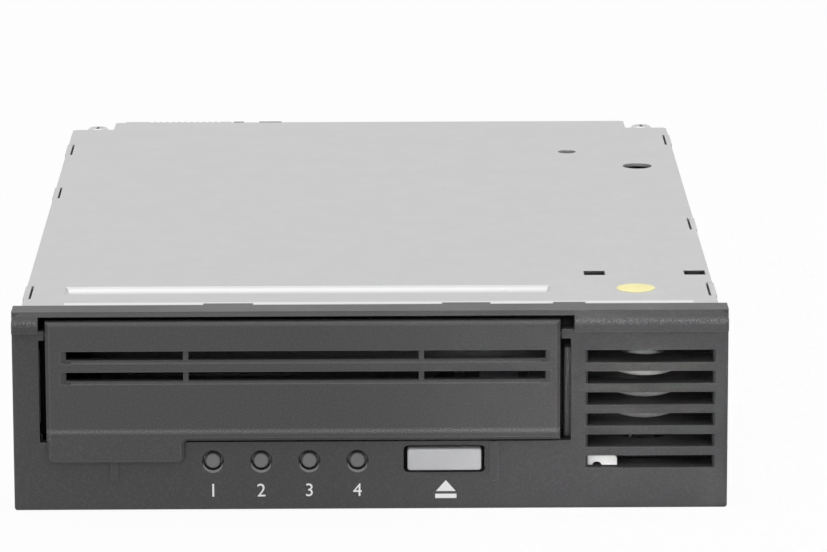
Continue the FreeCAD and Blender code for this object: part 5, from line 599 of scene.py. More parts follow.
def add_block(bm, low, high, bevel):
    """A block between two corners, with its edges rounded off."""
    low, high = Vector(low), Vector(high)
    place = Matrix.Translation((low + high) / 2) @ Matrix.Diagonal((*(high - low), 1.0))
    made = bmesh.ops.create_cube(bm, size=1.0, matrix=place)
    verts = set(made["verts"])
    edges = [e for e in bm.edges if e.verts[0] in verts and e.verts[1] in verts]
    bmesh.ops.bevel(bm, geom=edges, offset=bevel, segments=BEVEL_STEPS, affect="EDGES", profile=0.5)


def join_rings(bm, first, second):
    """Quads between two closed rings of corners."""
    count = len(first)
    for i in range(count):
        j = (i + 1) % count
        bm.faces.new((first[i], first[j], second[j], second[i]))


def add_loft(bm, rings):
    """A closed form through rings of corners, with a flat face on both ends."""
    for first, second in zip(rings, rings[1:]):
        join_rings(bm, first, second)
    bm.faces.new(list(reversed(rings[0])))
    bm.faces.new(rings[-1])


def add_lathe(bm, center, profile, segments):
    """A turned form round the Y axis: profile is a list of (radius, distance along the axis)."""
    place = Matrix.Translation(center) @ Matrix.Rotation(math.radians(-90), 4, "X")
    rings = []
    for radius, height in profile:
        ring = []
        for i in range(segments):
            angle = 2 * math.pi * i / segments
            corner = Vector((radius * math.cos(angle), radius * math.sin(angle), height))
            ring.append(bm.verts.new(place @ corner))
        rings.append(ring)
    add_loft(bm, rings)


def add_plate(bm, points, y0, y1):
    """A thin upright plate between two Y planes, from (x, z) points."""
    add_loft(bm, [[bm.verts.new((x, y, z)) for x, z in points] for y in (y1, y0)])


def add_strip(bm, path, thick, across, half):
    """A bent strip: path points get a thickness downwards and a width along the across axis."""
    rings = []
    for point in path:
        ring = []
        for drop, side in ((0.0, -half), (0.0, half), (thick, half), (thick, -half)):
            ring.append(bm.verts.new(Vector(point) - Vector((0, 0, drop)) + across * side))
        rings.append(ring)
    add_loft(bm, rings)


def arc(center, radii, start, end, steps):
    """Points (x, z) on an arc between two angles in degrees, both ends included."""
    points = []
    for i in range(steps + 1):
        turn = math.radians(start + (end - start) * i / steps)
        points.append((center[0] + radii[0] * math.cos(turn), center[1] + radii[1] * math.sin(turn)))
    return points


def loose_boxes(name):
    """The box of each separate solid in a CAD node, from left to right."""
    bm = bmesh.new()
    bm.from_mesh(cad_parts[name].data)
    bmesh.ops.remove_doubles(bm, verts=bm.verts, dist=WELD)
    left = set(bm.verts)
    boxes = []
    while left:
        stack = [left.pop()]
        corners = []
        while stack:
            vert = stack.pop()
            corners.append(vert.co.copy())
            for edge in vert.link_edges:
                other = edge.other_vert(vert)
                if other in left:
                    left.discard(other)
                    stack.append(other)
        boxes.append((Vector([min(c[i] for c in corners) for i in range(3)]),
                      Vector([max(c[i] for c in corners) for i in range(3)])))
    bm.free()
    return sorted(boxes, key=lambda box: tuple(round(v, 6) for v in box[0]))


# ---- case and front ---------------------------------------------------------
# Places on the front are distances behind the bezel's face and heights above the underside.

# Painted highlights on the cover along its front bend, its bead and the bead's crest: their places, ends,
# half widths and strengths.
BEND_BACK = 3.9 * MM                     # the cover's front bend, behind its front edge
BEND_ENDS_IN = (8.7 * MM, 5.0 * MM)
BEND_HALF, BEND_SHINE = 1.5 * MM, 0.5
BEAD_BACK, CREST_BACK = 24.3 * MM, 26.3 * MM
BEAD_ENDS = (-64.0 * MM, 37.6 * MM)
BEAD_HALF, BEAD_SHINE = 2.9 * MM, 0.26
CREST_HALF, CREST_SHINE = 0.9 * MM, 0.4

SLOT_LEFTS = (45.8 * MM, 67.3 * MM)
SLOT_BACK, SLOT_W, SLOT_D = 37.1 * MM, 4.6 * MM, 4.5 * MM
# Black liners in the cover's square slots, as painted shade inside them.
SHADE_LINER_T, SHADE_LINER_TALL, SHADE_LINER_SUNK = 0.15 * MM, 0.9 * MM, 0.06 * MM
SHADE_LINER_GAP = SHADE_LINER_ROUND = 0.02 * MM

# A black strip behind the door's gaps, as painted shade in them.
GAP_SHADE_Y = (5.85 * MM, 6.2 * MM)
GAP_SHADE_SIDES = (4.2 * MM, 3.1 * MM)        # past the door's left and right edges
GAP_SHADE_LAP, GAP_SHADE_ROUND = 0.2 * MM, 0.1 * MM
GAP_SHADE_TOP_IN, GAP_SHADE_TOP_TALL = 1.7 * MM, 2.9 * MM
GAP_SHADE_JOIN = 0.1 * MM                     # how far the sides run into the top
MOUTH_FOOT_Z = 15.2 * MM

LIP_Y = (1.6 * MM, 5.0 * MM)
LIP_BELOW_PINS = 2.6 * MM
RIGHT_LIP_OUT, RIGHT_LIP_ROUND = (1.0 * MM, 2.33 * MM), 0.15 * MM
LEFT_LIP_OUT, LEFT_LIP_ROUND = (2.05 * MM, 1.3 * MM), 0.1 * MM
LEFT_LIP_FOOT_Z = 18.4 * MM

BUTTON_X, BUTTON_Z = (7.65 * MM, 23.01 * MM), (8.53 * MM, 13.08 * MM)
# A black skirt round the button, as painted shade in its recess.
SKIRT_Y = (1.7 * MM, 2.1 * MM)
SKIRT_SIDE, SKIRT_DOWN, SKIRT_UP = 0.76 * MM, 0.55 * MM, 0.52 * MM
SKIRT_LAP, SKIRT_ROUND = 0.1 * MM, 0.05 * MM

LENSES = 4
LENS_Z = 10.47 * MM
# Lighter crescents in the lower half of each lens sink are painted highlights.
CRESCENT_TURN = (195, 345)               # degrees, along the lower half of the sink
CRESCENT_STEPS = 24
CRESCENT_TIP = 0.15                      # keeps the tips from closing to a point
# The crescent's front and rear radius, and the depth of both behind the face.
CRESCENT_R, CRESCENT_BACK_R = 2.03 * MM, 2.06 * MM
CRESCENT_DEPTH, CRESCENT_BACK_DEPTH = 0.36 * MM, 0.42 * MM
CRESCENT_W, CRESCENT_RISE, CRESCENT_T = 0.42 * MM, 0.46 * MM, 0.05 * MM

CURVE_STEPS = 6
TRIANGLE_LEAN = 0.93                     # half the triangle's foot, as a share of half the bar


class TAPEDRIVE_OT_case(bpy.types.Operator):
    """Finish the steel case, its cover, screws, contact strip and inspection dot"""

    bl_idname = "tape_drive.case"
    bl_label = "Case and Cover"

    def execute(self, context):
        low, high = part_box("top_cover")
        coat_nodes(finish("Zinc Sheet"), "base_chassis")
        coat_nodes(make_finish("Cover Sheet", fold_highlights=self.painted_fold_highlights(low, high), **SHEET), "top_cover")
        self.shade_slots(high.z)
        coat_nodes(finish("Bright Steel"), "cover_screws", "deck_screws", "board_screws",
                   "front_board_screws", "fan_screws")
        coat_nodes(finish("Yellow Dot"), "inspection_dot")
        coat_nodes(finish("Contact Strip"), "rear_ground_clip")
        return {"FINISHED"}

    def painted_fold_highlights(self, low, high):
        """The painted highlights on the cover's front bend and on its bead, with the bead's crest."""
        left_in, right_in = BEND_ENDS_IN
        return ((low.y + BEND_BACK, low.x + left_in, high.x - right_in, BEND_HALF, BEND_SHINE),
                (BEZEL_FACE_Y + BEAD_BACK, *BEAD_ENDS, BEAD_HALF, BEAD_SHINE),
                (BEZEL_FACE_Y + CREST_BACK, *BEAD_ENDS, CREST_HALF, CREST_SHINE))

    def shade_slots(self, cover_top):
        """Thin black liners in the two square slots of the cover, as painted shade inside them."""
        y0 = BEZEL_FACE_Y + SLOT_BACK + SHADE_LINER_GAP
        y1 = BEZEL_FACE_Y + SLOT_BACK + SLOT_D - SHADE_LINER_GAP
        z0, z1 = cover_top - SHADE_LINER_TALL, cover_top - SHADE_LINER_SUNK
        bm = bmesh.new()
        for left in SLOT_LEFTS:
            x0, x1 = left + SHADE_LINER_GAP, left + SLOT_W - SHADE_LINER_GAP
            add_block(bm, (x0, y1 - SHADE_LINER_T, z0), (x1, y1, z1), SHADE_LINER_ROUND)
            add_block(bm, (x0, y0, z0), (x0 + SHADE_LINER_T, y1, z1), SHADE_LINER_ROUND)
            add_block(bm, (x1 - SHADE_LINER_T, y0, z0), (x1, y1, z1), SHADE_LINER_ROUND)
        new_piece("slot_clips", bm, finish("Black Nylon"))


class TAPEDRIVE_OT_bezel(bpy.types.Operator):
    """Finish the textured front moulding"""

    bl_idname = "tape_drive.bezel"
    bl_label = "Bezel"

    def execute(self, context):
        coat_nodes(finish("Bezel Plastic"), "bezel")
        return {"FINISHED"}


class TAPEDRIVE_OT_door(bpy.types.Operator):
    """Finish the cartridge door with its pins and spring, and line the mouth behind it, partly with a black
    strip that is painted shade behind the door's gaps
    """

    bl_idname = "tape_drive.door"
    bl_label = "Cartridge Door"

    def execute(self, context):
        coat_nodes(finish("Door Plastic"), "cartridge_door")
        coat_nodes(finish("Blackened Steel"), "door_hinge_pins", "door_spring")
        low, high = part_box("cartridge_door")
        self.lay_gap_shade(low, high)
        self.fit_lips(low, high)
        return {"FINISHED"}

    def lay_gap_shade(self, low, high):
        """A black strip round the mouth, behind the door's gaps: painted shade."""
        y0, y1 = (BEZEL_FACE_Y + back for back in GAP_SHADE_Y)
        x0, x1 = low.x - GAP_SHADE_SIDES[0], high.x + GAP_SHADE_SIDES[1]
        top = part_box("bezel")[1].z - GAP_SHADE_TOP_IN
        side_top = top - GAP_SHADE_TOP_TALL + GAP_SHADE_JOIN
        bm = bmesh.new()
        add_block(bm, (x0, y0, top - GAP_SHADE_TOP_TALL), (x1, y1, top), GAP_SHADE_ROUND)
        add_block(bm, (x0, y0, MOUTH_FOOT_Z), (low.x + GAP_SHADE_LAP, y1, side_top), GAP_SHADE_ROUND)
        add_block(bm, (high.x - GAP_SHADE_LAP, y0, MOUTH_FOOT_Z), (x1, y1, side_top), GAP_SHADE_ROUND)
        new_piece("dust_seal", bm, finish("Seal Foam"))

    def fit_lips(self, low, high):
        """The lips set back in both ends of the mouth, beside the door, below its hinge."""
        y0, y1 = (BEZEL_FACE_Y + back for back in LIP_Y)
        z1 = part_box("door_hinge_pins")[0].z - LIP_BELOW_PINS
        bm = bmesh.new()
        add_block(bm, (high.x + RIGHT_LIP_OUT[0], y0, MOUTH_FOOT_Z), (high.x + RIGHT_LIP_OUT[1], y1, z1),
                  RIGHT_LIP_ROUND)
        add_block(bm, (low.x - LEFT_LIP_OUT[0], y0, LEFT_LIP_FOOT_Z), (low.x - LEFT_LIP_OUT[1], y1, z1),
                  LEFT_LIP_ROUND)
        new_piece("mouth_lips", bm, finish("Bezel Plastic"))


class TAPEDRIVE_OT_button(bpy.types.Operator):
    """Finish the eject button and the switch behind it"""

    bl_idname = "tape_drive.button"
    bl_label = "Eject Button"

    def execute(self, context):
        coat_nodes(finish("Button Plastic"), "eject_button")
        coat_nodes(finish("Black Nylon"), "eject_switch")
        self.fit_shade_skirt()
        return {"FINISHED"}

    def fit_shade_skirt(self):
        """A black skirt round the button, in front of its flange: painted shade in its recess."""
        y0, y1 = (BEZEL_FACE_Y + back for back in SKIRT_Y)
        (x0, x1), (z0, z1) = BUTTON_X, BUTTON_Z
        left, right = x0 - SKIRT_SIDE, x1 + SKIRT_SIDE
        bm = bmesh.new()
        add_block(bm, (left, y0, z0 - SKIRT_DOWN), (right, y1, z0 + SKIRT_LAP), SKIRT_ROUND)
        add_block(bm, (left, y0, z1 - SKIRT_LAP), (right, y1, z1 + SKIRT_UP), SKIRT_ROUND)
        add_block(bm, (left, y0, z0), (x0 + SKIRT_LAP, y1, z1), SKIRT_ROUND)
        add_block(bm, (x1 - SKIRT_LAP, y0, z0), (right, y1, z1), SKIRT_ROUND)
        new_piece("button_skirt", bm, finish("Seal Foam"), body="button")


class TAPEDRIVE_OT_lamps(bpy.types.Operator):
    """Finish the indicator lenses and chip lights, and print their numerals"""

    bl_idname = "tape_drive.lamps"
    bl_label = "Lamps and Numerals"

    def execute(self, context):
        coat_nodes(finish("Lamp Lens"), "led_light_pipes")
        coat_nodes(finish("Chip Light"), "status_leds")
        low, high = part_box("status_leds")
        inset = (high.z - low.z) * 2 / 3
        first, last = low.x + inset, high.x - inset
        places = [first + (last - first) * i / (LENSES - 1) for i in range(LENSES)]
        self.print_numerals(places, context.scene.tape_drive_marks)
        self.paint_sink_highlights(places)
        return {"FINISHED"}

    def print_numerals(self, places, marks):
        """The numerals under the lenses, counted from the left."""
        bm = bmesh.new()
        for i, x in enumerate(places):
            self.add_numeral(bm, str(i + 1), x, marks)
        new_piece("lamp_numerals", bm, finish("White Print"))

    def add_numeral(self, bm, text, x, marks):
        """One upright numeral, centred on x."""
        curve = bpy.data.curves.new("numeral", "FONT")
        curve.body = text
        curve.align_x = "CENTER"
        curve.resolution_u = CURVE_STEPS
        carrier = bpy.data.objects.new("numeral", curve)
        bpy.context.scene.collection.objects.link(carrier)
        bpy.context.view_layer.update()
        flat = bpy.data.meshes.new_from_object(carrier.evaluated_get(bpy.context.evaluated_depsgraph_get()))
        low = min(v.co.y for v in flat.vertices)
        grow = marks.numeral_height / (max(v.co.y for v in flat.vertices) - low)
        for v in flat.vertices:
            v.co = (x + v.co.x * grow, BEZEL_FACE_Y - marks.ink, marks.numeral_base + (v.co.y - low) * grow)
        bm.from_mesh(flat)
        bpy.data.objects.remove(carrier)
        bpy.data.curves.remove(curve)
        bpy.data.meshes.remove(flat)

    def paint_sink_highlights(self, places):
        """Lighter crescents in the lower half of the lens sinks: painted highlights where the sinks' lower
        bevels catch the light.
        """
        bm = bmesh.new()
        for x in places:
            self.add_crescent(bm, x)
        new_piece("lens_rims", bm, finish("Lens Rim"))

    def add_crescent(self, bm, x):
        """One crescent, thickest at the bottom, from the bore out to the rim of its sink."""
        start, end = CRESCENT_TURN
        rings = []
        for k in range(CRESCENT_STEPS + 1):
            turn = math.radians(start + (end - start) * k / CRESCENT_STEPS)
            wide = math.sqrt(math.sin(math.pi * (k + CRESCENT_TIP) / (CRESCENT_STEPS + 2 * CRESCENT_TIP)))
            reach, rise = CRESCENT_W * wide, CRESCENT_RISE * wide
            ring = []
            for radius, depth in ((CRESCENT_BACK_R, CRESCENT_BACK_DEPTH), (CRESCENT_R, CRESCENT_DEPTH),
                                  (CRESCENT_R + reach, CRESCENT_DEPTH - rise),
                                  (CRESCENT_R + CRESCENT_T + reach, CRESCENT_BACK_DEPTH - rise)):
                ring.append(bm.verts.new((x + radius * math.cos(turn), BEZEL_FACE_Y + depth,
                                          LENS_Z + radius * math.sin(turn))))
            rings.append(ring)
        add_loft(bm, rings)


class TAPEDRIVE_OT_eject_symbol(bpy.types.Operator):
    """Print the eject triangle and bar under the button"""

    bl_idname = "tape_drive.eject_symbol"
    bl_label = "Eject Symbol"

    def execute(self, context):
        marks = context.scene.tape_drive_marks
        x, half = marks.symbol_center, marks.symbol_width / 2
        lean = half * TRIANGLE_LEAN
        y0, y1 = BEZEL_FACE_Y - marks.ink, BEZEL_FACE_Y - marks.ink / 4
        bm = bmesh.new()
        triangle = [(x - lean, marks.symbol_step), (x + lean, marks.symbol_step), (x, marks.symbol_top)]
        bar = [(x - half, marks.bar_base), (x + half, marks.bar_base), (x + half, marks.bar_top),
               (x - half, marks.bar_top)]
        add_plate(bm, triangle, y0, y1)
        add_plate(bm, bar, y0, y1)
        new_piece("eject_symbol", bm, finish("White Print"))
        return {"FINISHED"}


# ---- fan --------------------------------------------------------------------

CAP_PROFILE = ((0.9, -0.3), (5.0, -0.3), (7.9, -0.2), (8.9, 0.25), (9.25, 1.2))   # millimetres
CAP_SEGMENTS = 48

HOUSING_FRONT, HOUSING_LAP = 9.3 * MM, 0.05 * MM
HOUSING_ROUND, HOUSING_NOTCH, HOUSING_NOTCH_SHARE = 0.9 * MM, 1.3 * MM, 0.7
HOUSING_SMOOTH = 25.0
FINGER_Y, FINGER_Z = (1.4 * MM, 4.0 * MM), (8.98 * MM, 11.1 * MM)
FINGER_SHORT, FINGER_NOTCH_IN = 0.5 * MM, 1.9 * MM
FINGER_ROUND, FINGER_NOTCH, FINGER_NOTCH_SHARE = 0.95 * MM, 0.95 * MM, 0.75
STEM_Y = (3.9 * MM, 9.4 * MM)
STEM_LEFT_IN, STEM_RIGHT_IN, STEM_FOOT_IN, STEM_TOP_IN = 0.6 * MM, 0.9 * MM, 0.9 * MM, 0.3 * MM
NOTCH_STEPS, CORNER_STEPS = 8, 4

VANES = 5
VANE_Y = (1.2 * MM, 9.0 * MM)
VANE_RIGHT_IN, VANE_W, VANE_T = 3.0 * MM, 26.3 * MM, 0.7 * MM
VANE_FIRST_Z, VANE_PITCH = 13.125 * MM, 4.515 * MM
VANE_RISE = 0.0833                       # how steeply a vane climbs towards the rear
HOLLOW_D, HOLLOW_HALF, HOLLOW_STEPS = 3.4 * MM, 6.0 * MM, 12


class TAPEDRIVE_OT_fan(bpy.types.Operator):
    """Finish the fan and its plug, and add the louvre's vanes"""

    bl_idname = "tape_drive.fan"
    bl_label = "Fan"

    def execute(self, context):
        coat_nodes(finish("Black Nylon"), "fan_frame", "fan_rotor")
        coat_nodes(finish("White Nylon"), "fan_plug")
        self.cap_hub()
        self.extend_plug()
        self.lay_vanes()
        return {"FINISHED"}

    def cap_hub(self):
        """The satin metal cap of the fan motor, on the rotor's hub."""
        low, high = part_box("fan_rotor")
        center = Vector(((low.x + high.x) / 2, low.y, (low.z + high.z) / 2))
        bm = bmesh.new()
        add_lathe(bm, center, [(radius * MM, depth * MM) for radius, depth in CAP_PROFILE], CAP_SEGMENTS)
        new_piece("hub_cap", bm, finish("Hub Cap"), body="fan_wheel")

    def extend_plug(self):
        """The cable half of the fan's plug, pushed into its header, with a finger grip."""
        low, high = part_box("fan_plug")
        bm = bmesh.new()
        outline = self.housing_outline((low.x, high.x), (low.z, high.z), HOUSING_ROUND, (low.x + high.x) / 2,
                                       HOUSING_NOTCH, HOUSING_NOTCH_SHARE)
        add_plate(bm, outline, BEZEL_FACE_Y + HOUSING_FRONT, low.y + HOUSING_LAP)
        self.add_finger(bm, low.x, high.x - FINGER_SHORT)
        new_piece("plug_housing", bm, finish("Plug Housing"), smooth_angle=HOUSING_SMOOTH)

    def add_finger(self, bm, x0, x1):
        """The housing's finger grip, which reaches into the lowest air slot."""
        z0, z1 = FINGER_Z
        outline = self.housing_outline((x0, x1), FINGER_Z, FINGER_ROUND, x0 + FINGER_NOTCH_IN, FINGER_NOTCH,
                                       FINGER_NOTCH_SHARE)
        add_plate(bm, outline, *(BEZEL_FACE_Y + back for back in FINGER_Y))
        left, right, foot, top = x0 + STEM_LEFT_IN, x1 - STEM_RIGHT_IN, z0 + STEM_FOOT_IN, z1 - STEM_TOP_IN
        stem = [(left, foot), (right, foot), (right, top), (left, top)]
        add_plate(bm, stem, *(BEZEL_FACE_Y + back for back in STEM_Y))

    def housing_outline(self, x_span, z_span, radius, notch_at, notch, notch_share):
        """An oblong with a hollow in its foot and its upper right corner rounded off."""
        (x0, x1), (z0, z1) = x_span, z_span
        return [(x0, z0), *arc((notch_at, z0), (-notch, notch_share * notch), 0, 180, NOTCH_STEPS), (x1, z0),
                *arc((x1 - radius, z1 - radius), (radius, radius), 0, 90, CORNER_STEPS), (x0, z1)]

    def lay_vanes(self):
        """Thin vanes that carry the louvre's slats to the fan; each is hollowed in front of the hub."""
        low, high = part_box("fan_rotor")
        middle = (low.x + high.x) / 2
        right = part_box("bezel")[1].x - VANE_RIGHT_IN
        left = right - VANE_W
        front, rear = (BEZEL_FACE_Y + back for back in VANE_Y)
        outline = [(left, front), (right, front), (right, rear)]
        for k in range(HOLLOW_STEPS + 1):
            along = 1 - 2 * k / HOLLOW_STEPS
            outline.append((middle + HOLLOW_HALF * along, rear - HOLLOW_D * (1 - along * along)))
        outline.append((left, rear))
        bm = bmesh.new()
        for i in range(VANES):
            top = VANE_FIRST_Z + VANE_PITCH * i
            rings = []
            for z in (top - VANE_T, top):
                rings.append([bm.verts.new((x, y, z + (y - BEZEL_FACE_Y) * VANE_RISE)) for x, y in outline])
            add_loft(bm, rings)
        new_piece("louvre_vanes", bm, finish("Vane Plastic"))


# ---- mechanism --------------------------------------------------------------

class TAPEDRIVE_OT_deck(bpy.types.Operator):
    """Finish the cast deck, its rubber washers, the cartridge bay, the tray and its slides"""

    bl_idname = "tape_drive.deck"
    bl_label = "Deck and Tray"

    def execute(self, context):
        coat_nodes(finish("Cast Aluminium"), "deck_casting")
        coat_nodes(finish("Black Rubber"), "deck_isolators")
        coat_nodes(finish("Phosphated Steel"), "cartridge_tray", "bay_frame_left", "bay_frame_right")
        coat_nodes(finish("Bright Steel"), "left_cam_slide", "right_cam_slide", "slide_link")
        coat_nodes(finish("Black Nylon"), "cartridge_sensor")
        return {"FINISHED"}


class TAPEDRIVE_OT_loader(bpy.types.Operator):
    """Finish the loader's motor, pinion and gear"""

    bl_idname = "tape_drive.loader"
    bl_label = "Loader Drive"

    def execute(self, context):
        coat_nodes(finish("Acetal"), "loader_gear")
        coat_nodes(finish("Brass"), "loader_pinion")
        coat_nodes(finish("Bright Steel"), "loader_gear_post", "loader_motor")
        return {"FINISHED"}


class TAPEDRIVE_OT_reels(bpy.types.Operator):
    """Finish both reel motors, the clutch and the take-up reel"""

    bl_idname = "tape_drive.reels"
    bl_label = "Reels"

    def execute(self, context):
        coat_nodes(finish("Bright Steel"), "supply_motor", "take_up_motor")
        coat_nodes(finish("Milled Aluminium"), "supply_clutch")
        coat_nodes(finish("Reel Plastic"), "take_up_reel", "reel_upper_flange")
        return {"FINISHED"}


class TAPEDRIVE_OT_tape_path(bpy.types.Operator):
    """Finish the guide rollers, posts and threading arm"""

    bl_idname = "tape_drive.tape_path"
    bl_label = "Tape Path"

    def execute(self, context):
        coat_nodes(finish("Milled Aluminium"), "guide_roller_1", "guide_roller_2", "guide_roller_3",
                   "guide_roller_4")
        coat_nodes(finish("Bright Steel"), "roller_posts", "arm_post", "threading_arm")
        coat_nodes(finish("Acetal"), "leader_hook")
        return {"FINISHED"}


class TAPEDRIVE_OT_head(bpy.types.Operator):
    """Finish the head, its carriage, bracket and lifting drive"""

    bl_idname = "tape_drive.head"
    bl_label = "Tape Head"

    def execute(self, context):
        coat_nodes(finish("Milled Aluminium"), "head_frame", "head_carriage")
        coat_nodes(finish("Bright Steel"), "head_guide_rods", "head_stepper")
        coat_nodes(finish("Brass"), "head_lead_screw")
        coat_nodes(finish("Head Ceramic"), "tape_head")
        return {"FINISHED"}


# ---- electronics ------------------------------------------------------------

LEG_PITCH, LEG_HALF, LEG_T = 0.8 * MM, 0.16 * MM, 0.13 * MM
LEG_CORNER = 1.2 * MM                    # length without legs on each side of a chip
LEG_KNEE = 0.55                          # share of the chip's height
LEG_ROOT_OUT, LEG_KNEE_OUT, LEG_FOOT_OUT, LEG_TOE_OUT = -0.05 * MM, 0.28 * MM, 0.42 * MM, 0.95 * MM
LEG_FOOT_UP, LEG_TOE_UP = 1.3 * LEG_T, 1.1 * LEG_T

PASSIVE_PITCH, PASSIVE_AHEAD = 3.0 * MM, 2.4 * MM
PASSIVE_HALF, PASSIVE_D_HALF, PASSIVE_TALL = 0.5 * MM, 0.4 * MM, 0.5 * MM
PASSIVE_END, PASSIVE_END_PROUD, PASSIVE_ROUND = 0.3 * MM, 0.02 * MM, 0.05 * MM

CONTACTS, CONTACT_SIDE_IN, CONTACT_HALF = 34, 6.0 * MM, 0.2 * MM
CONTACT_REACH = (5.3 * MM, 1.5 * MM)     # from the connector's rear
CONTACT_UP = (0.96 * MM, 1.23 * MM)      # from the blade's middle
CONTACT_ROUND = 0.05 * MM

PINS, PIN_PITCH, PIN_R, PIN_SEGMENTS = 4, 5.08 * MM, 1.08 * MM, 20
PIN_FOOT_IN, PIN_L, PIN_TIP = 9.98 * MM, 7.96 * MM, 0.5 * MM
PIN_TIP_SHAPE = ((0.87, 0.6), (0.5, 1.0))        # shares of the radius and of the tip's length


class TAPEDRIVE_OT_boards(bpy.types.Operator):
    """Finish both circuit boards and their cable, and solder on the chips' legs and the small parts"""

    bl_idname = "tape_drive.boards"
    bl_label = "Circuit Boards"

    def execute(self, context):
        coat_nodes(board_material(), "main_board", "front_board")
        coat_nodes(finish("Chip Epoxy"), "board_chips")
        coat_nodes(finish("Flat Cable"), "front_cable")
        chips, board_top = loose_boxes("board_chips"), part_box("main_board")[1].z
        self.solder_legs(chips, board_top)
        self.solder_passives(chips, board_top)
        return {"FINISHED"}

    def solder_legs(self, chips, board_top):
        """Gull-wing legs along all four sides of every chip."""
        across, along = Vector((1, 0, 0)), Vector((0, 1, 0))
        bm = bmesh.new()
        for low, high in chips:
            knee = board_top + (high.z - low.z) * LEG_KNEE
            shape = ((LEG_ROOT_OUT, knee), (LEG_KNEE_OUT, knee), (LEG_FOOT_OUT, board_top + LEG_FOOT_UP),
                     (LEG_TOE_OUT, board_top + LEG_TOE_UP))
            for out, row in ((across, along), (-across, along), (along, across), (-along, across)):
                self.add_legs(bm, low, high, out, row, shape)
        new_piece("chip_legs", bm, finish("Bright Steel"))

    def add_legs(self, bm, low, high, out, row, shape):
        """One side's row of legs; shape gives each leg's points as (distance out, height)."""
        middle, size = (low + high) / 2, high - low
        reach, span = abs(size.dot(out)) / 2, size.dot(row)
        count = int((span - LEG_CORNER) / LEG_PITCH)
        for i in range(count):
            place = middle + row * (LEG_PITCH * (i - (count - 1) / 2))
            path = []
            for far, height in shape:
                point = place + out * (reach + far)
                path.append((point.x, point.y, height))
            add_strip(bm, path, LEG_T, row, LEG_HALF)

    def solder_passives(self, chips, board_top):
        """A row of small two-ended parts along the front of every chip."""
        bodies, ends = bmesh.new(), bmesh.new()
        deep = PASSIVE_D_HALF + PASSIVE_END_PROUD
        end_top = board_top + PASSIVE_TALL + PASSIVE_END_PROUD
        for low, high in chips:
            y = low.y - PASSIVE_AHEAD
            for i in range(int((high.x - low.x) / PASSIVE_PITCH)):
                x = low.x + PASSIVE_PITCH * (i + 0.5)
                x0, x1 = x - PASSIVE_HALF, x + PASSIVE_HALF
                add_block(bodies, (x0, y - PASSIVE_D_HALF, board_top),
                          (x1, y + PASSIVE_D_HALF, board_top + PASSIVE_TALL), PASSIVE_ROUND)
                for left, right in ((x0 - PASSIVE_END, x0), (x1, x1 + PASSIVE_END)):
                    add_block(ends, (left, y - deep, board_top), (right, y + deep, end_top), PASSIVE_ROUND)
        new_piece("passive_bodies", bodies, finish("Chip Ceramic"))
        new_piece("passive_ends", ends, finish("Bright Steel"))


class TAPEDRIVE_OT_connectors(bpy.types.Operator):
    """Finish the rear connectors and the jumper block, and plate the contacts and pins"""

    bl_idname = "tape_drive.connectors"
    bl_label = "Rear Connectors"

    def execute(self, context):
        coat_nodes(finish("Black Nylon"), "interface_connector", "jumper_block")
        coat_nodes(finish("White Nylon"), "power_connector")
        self.plate_contacts()
        self.plate_power_pins()
        return {"FINISHED"}

    def plate_contacts(self):
        """Gold contacts in the grooves of the data connector's blade."""
        low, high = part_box("interface_connector")
        pitch = (high.x - low.x - 2 * CONTACT_SIDE_IN) / (CONTACTS - 1)
        middle = (low.z + high.z) / 2
        y0, y1 = (high.y - reach for reach in CONTACT_REACH)
        near, far = CONTACT_UP
        bm = bmesh.new()
        for i in range(CONTACTS):
            x = low.x + CONTACT_SIDE_IN + pitch * i
            for z0, z1 in ((middle - far, middle - near), (middle + near, middle + far)):
                add_block(bm, (x - CONTACT_HALF, y0, z0), (x + CONTACT_HALF, y1, z1), CONTACT_ROUND)
        new_piece("data_contacts", bm, finish("Gold Plate"))

    def plate_power_pins(self):
        """Plated sleeves with rounded tips over the four power pins."""
        low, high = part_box("power_connector")
        middle = (low + high) / 2
        profile = [(PIN_R, 0.0), (PIN_R, PIN_L)]
        profile += [(PIN_R * wide, PIN_L + PIN_TIP * far) for wide, far in PIN_TIP_SHAPE]
        bm = bmesh.new()
        for i in range(PINS):
            foot = Vector((middle.x + PIN_PITCH * (i - (PINS - 1) / 2), high.y - PIN_FOOT_IN, middle.z))
            add_lathe(bm, foot, profile, PIN_SEGMENTS)
        new_piece("power_pin_plating", bm, finish("Brass"))


# ---- studio -----------------------------------------------------------------

SENSOR_W = 36.0                          # millimetres
CLIP_START, CLIP_END = 0.05, 20.0
LAMPS = (
    # name, place, target and width in metres, power setting, beam in degrees
    ("key_lamp", (-0.25, -0.35, 1.5), (0.0, 0.0, 0.0), 1.6, "key_power", 180.0),
    ("front_lamp", (-0.5, -1.9, 0.9), (0.0, -0.05, 0.02), 1.1, "front_power", 180.0),
    ("fill_lamp", (1.3, -0.6, 0.9), (0.0, 0.0, 0.0), 0.9, "fill_power", 180.0),
    ("louvre_lamp", (0.03, -1.22, 0.27), (0.062, -0.1, 0.02), 0.09, "louvre_power", 3.6),
)
FLOOR_FIELDS = 8
FLOOR_DROP = 0.2 * MM
FLOOR_ROUGH = 0.9
WHITE = (1.0, 1.0, 1.0, 1.0)

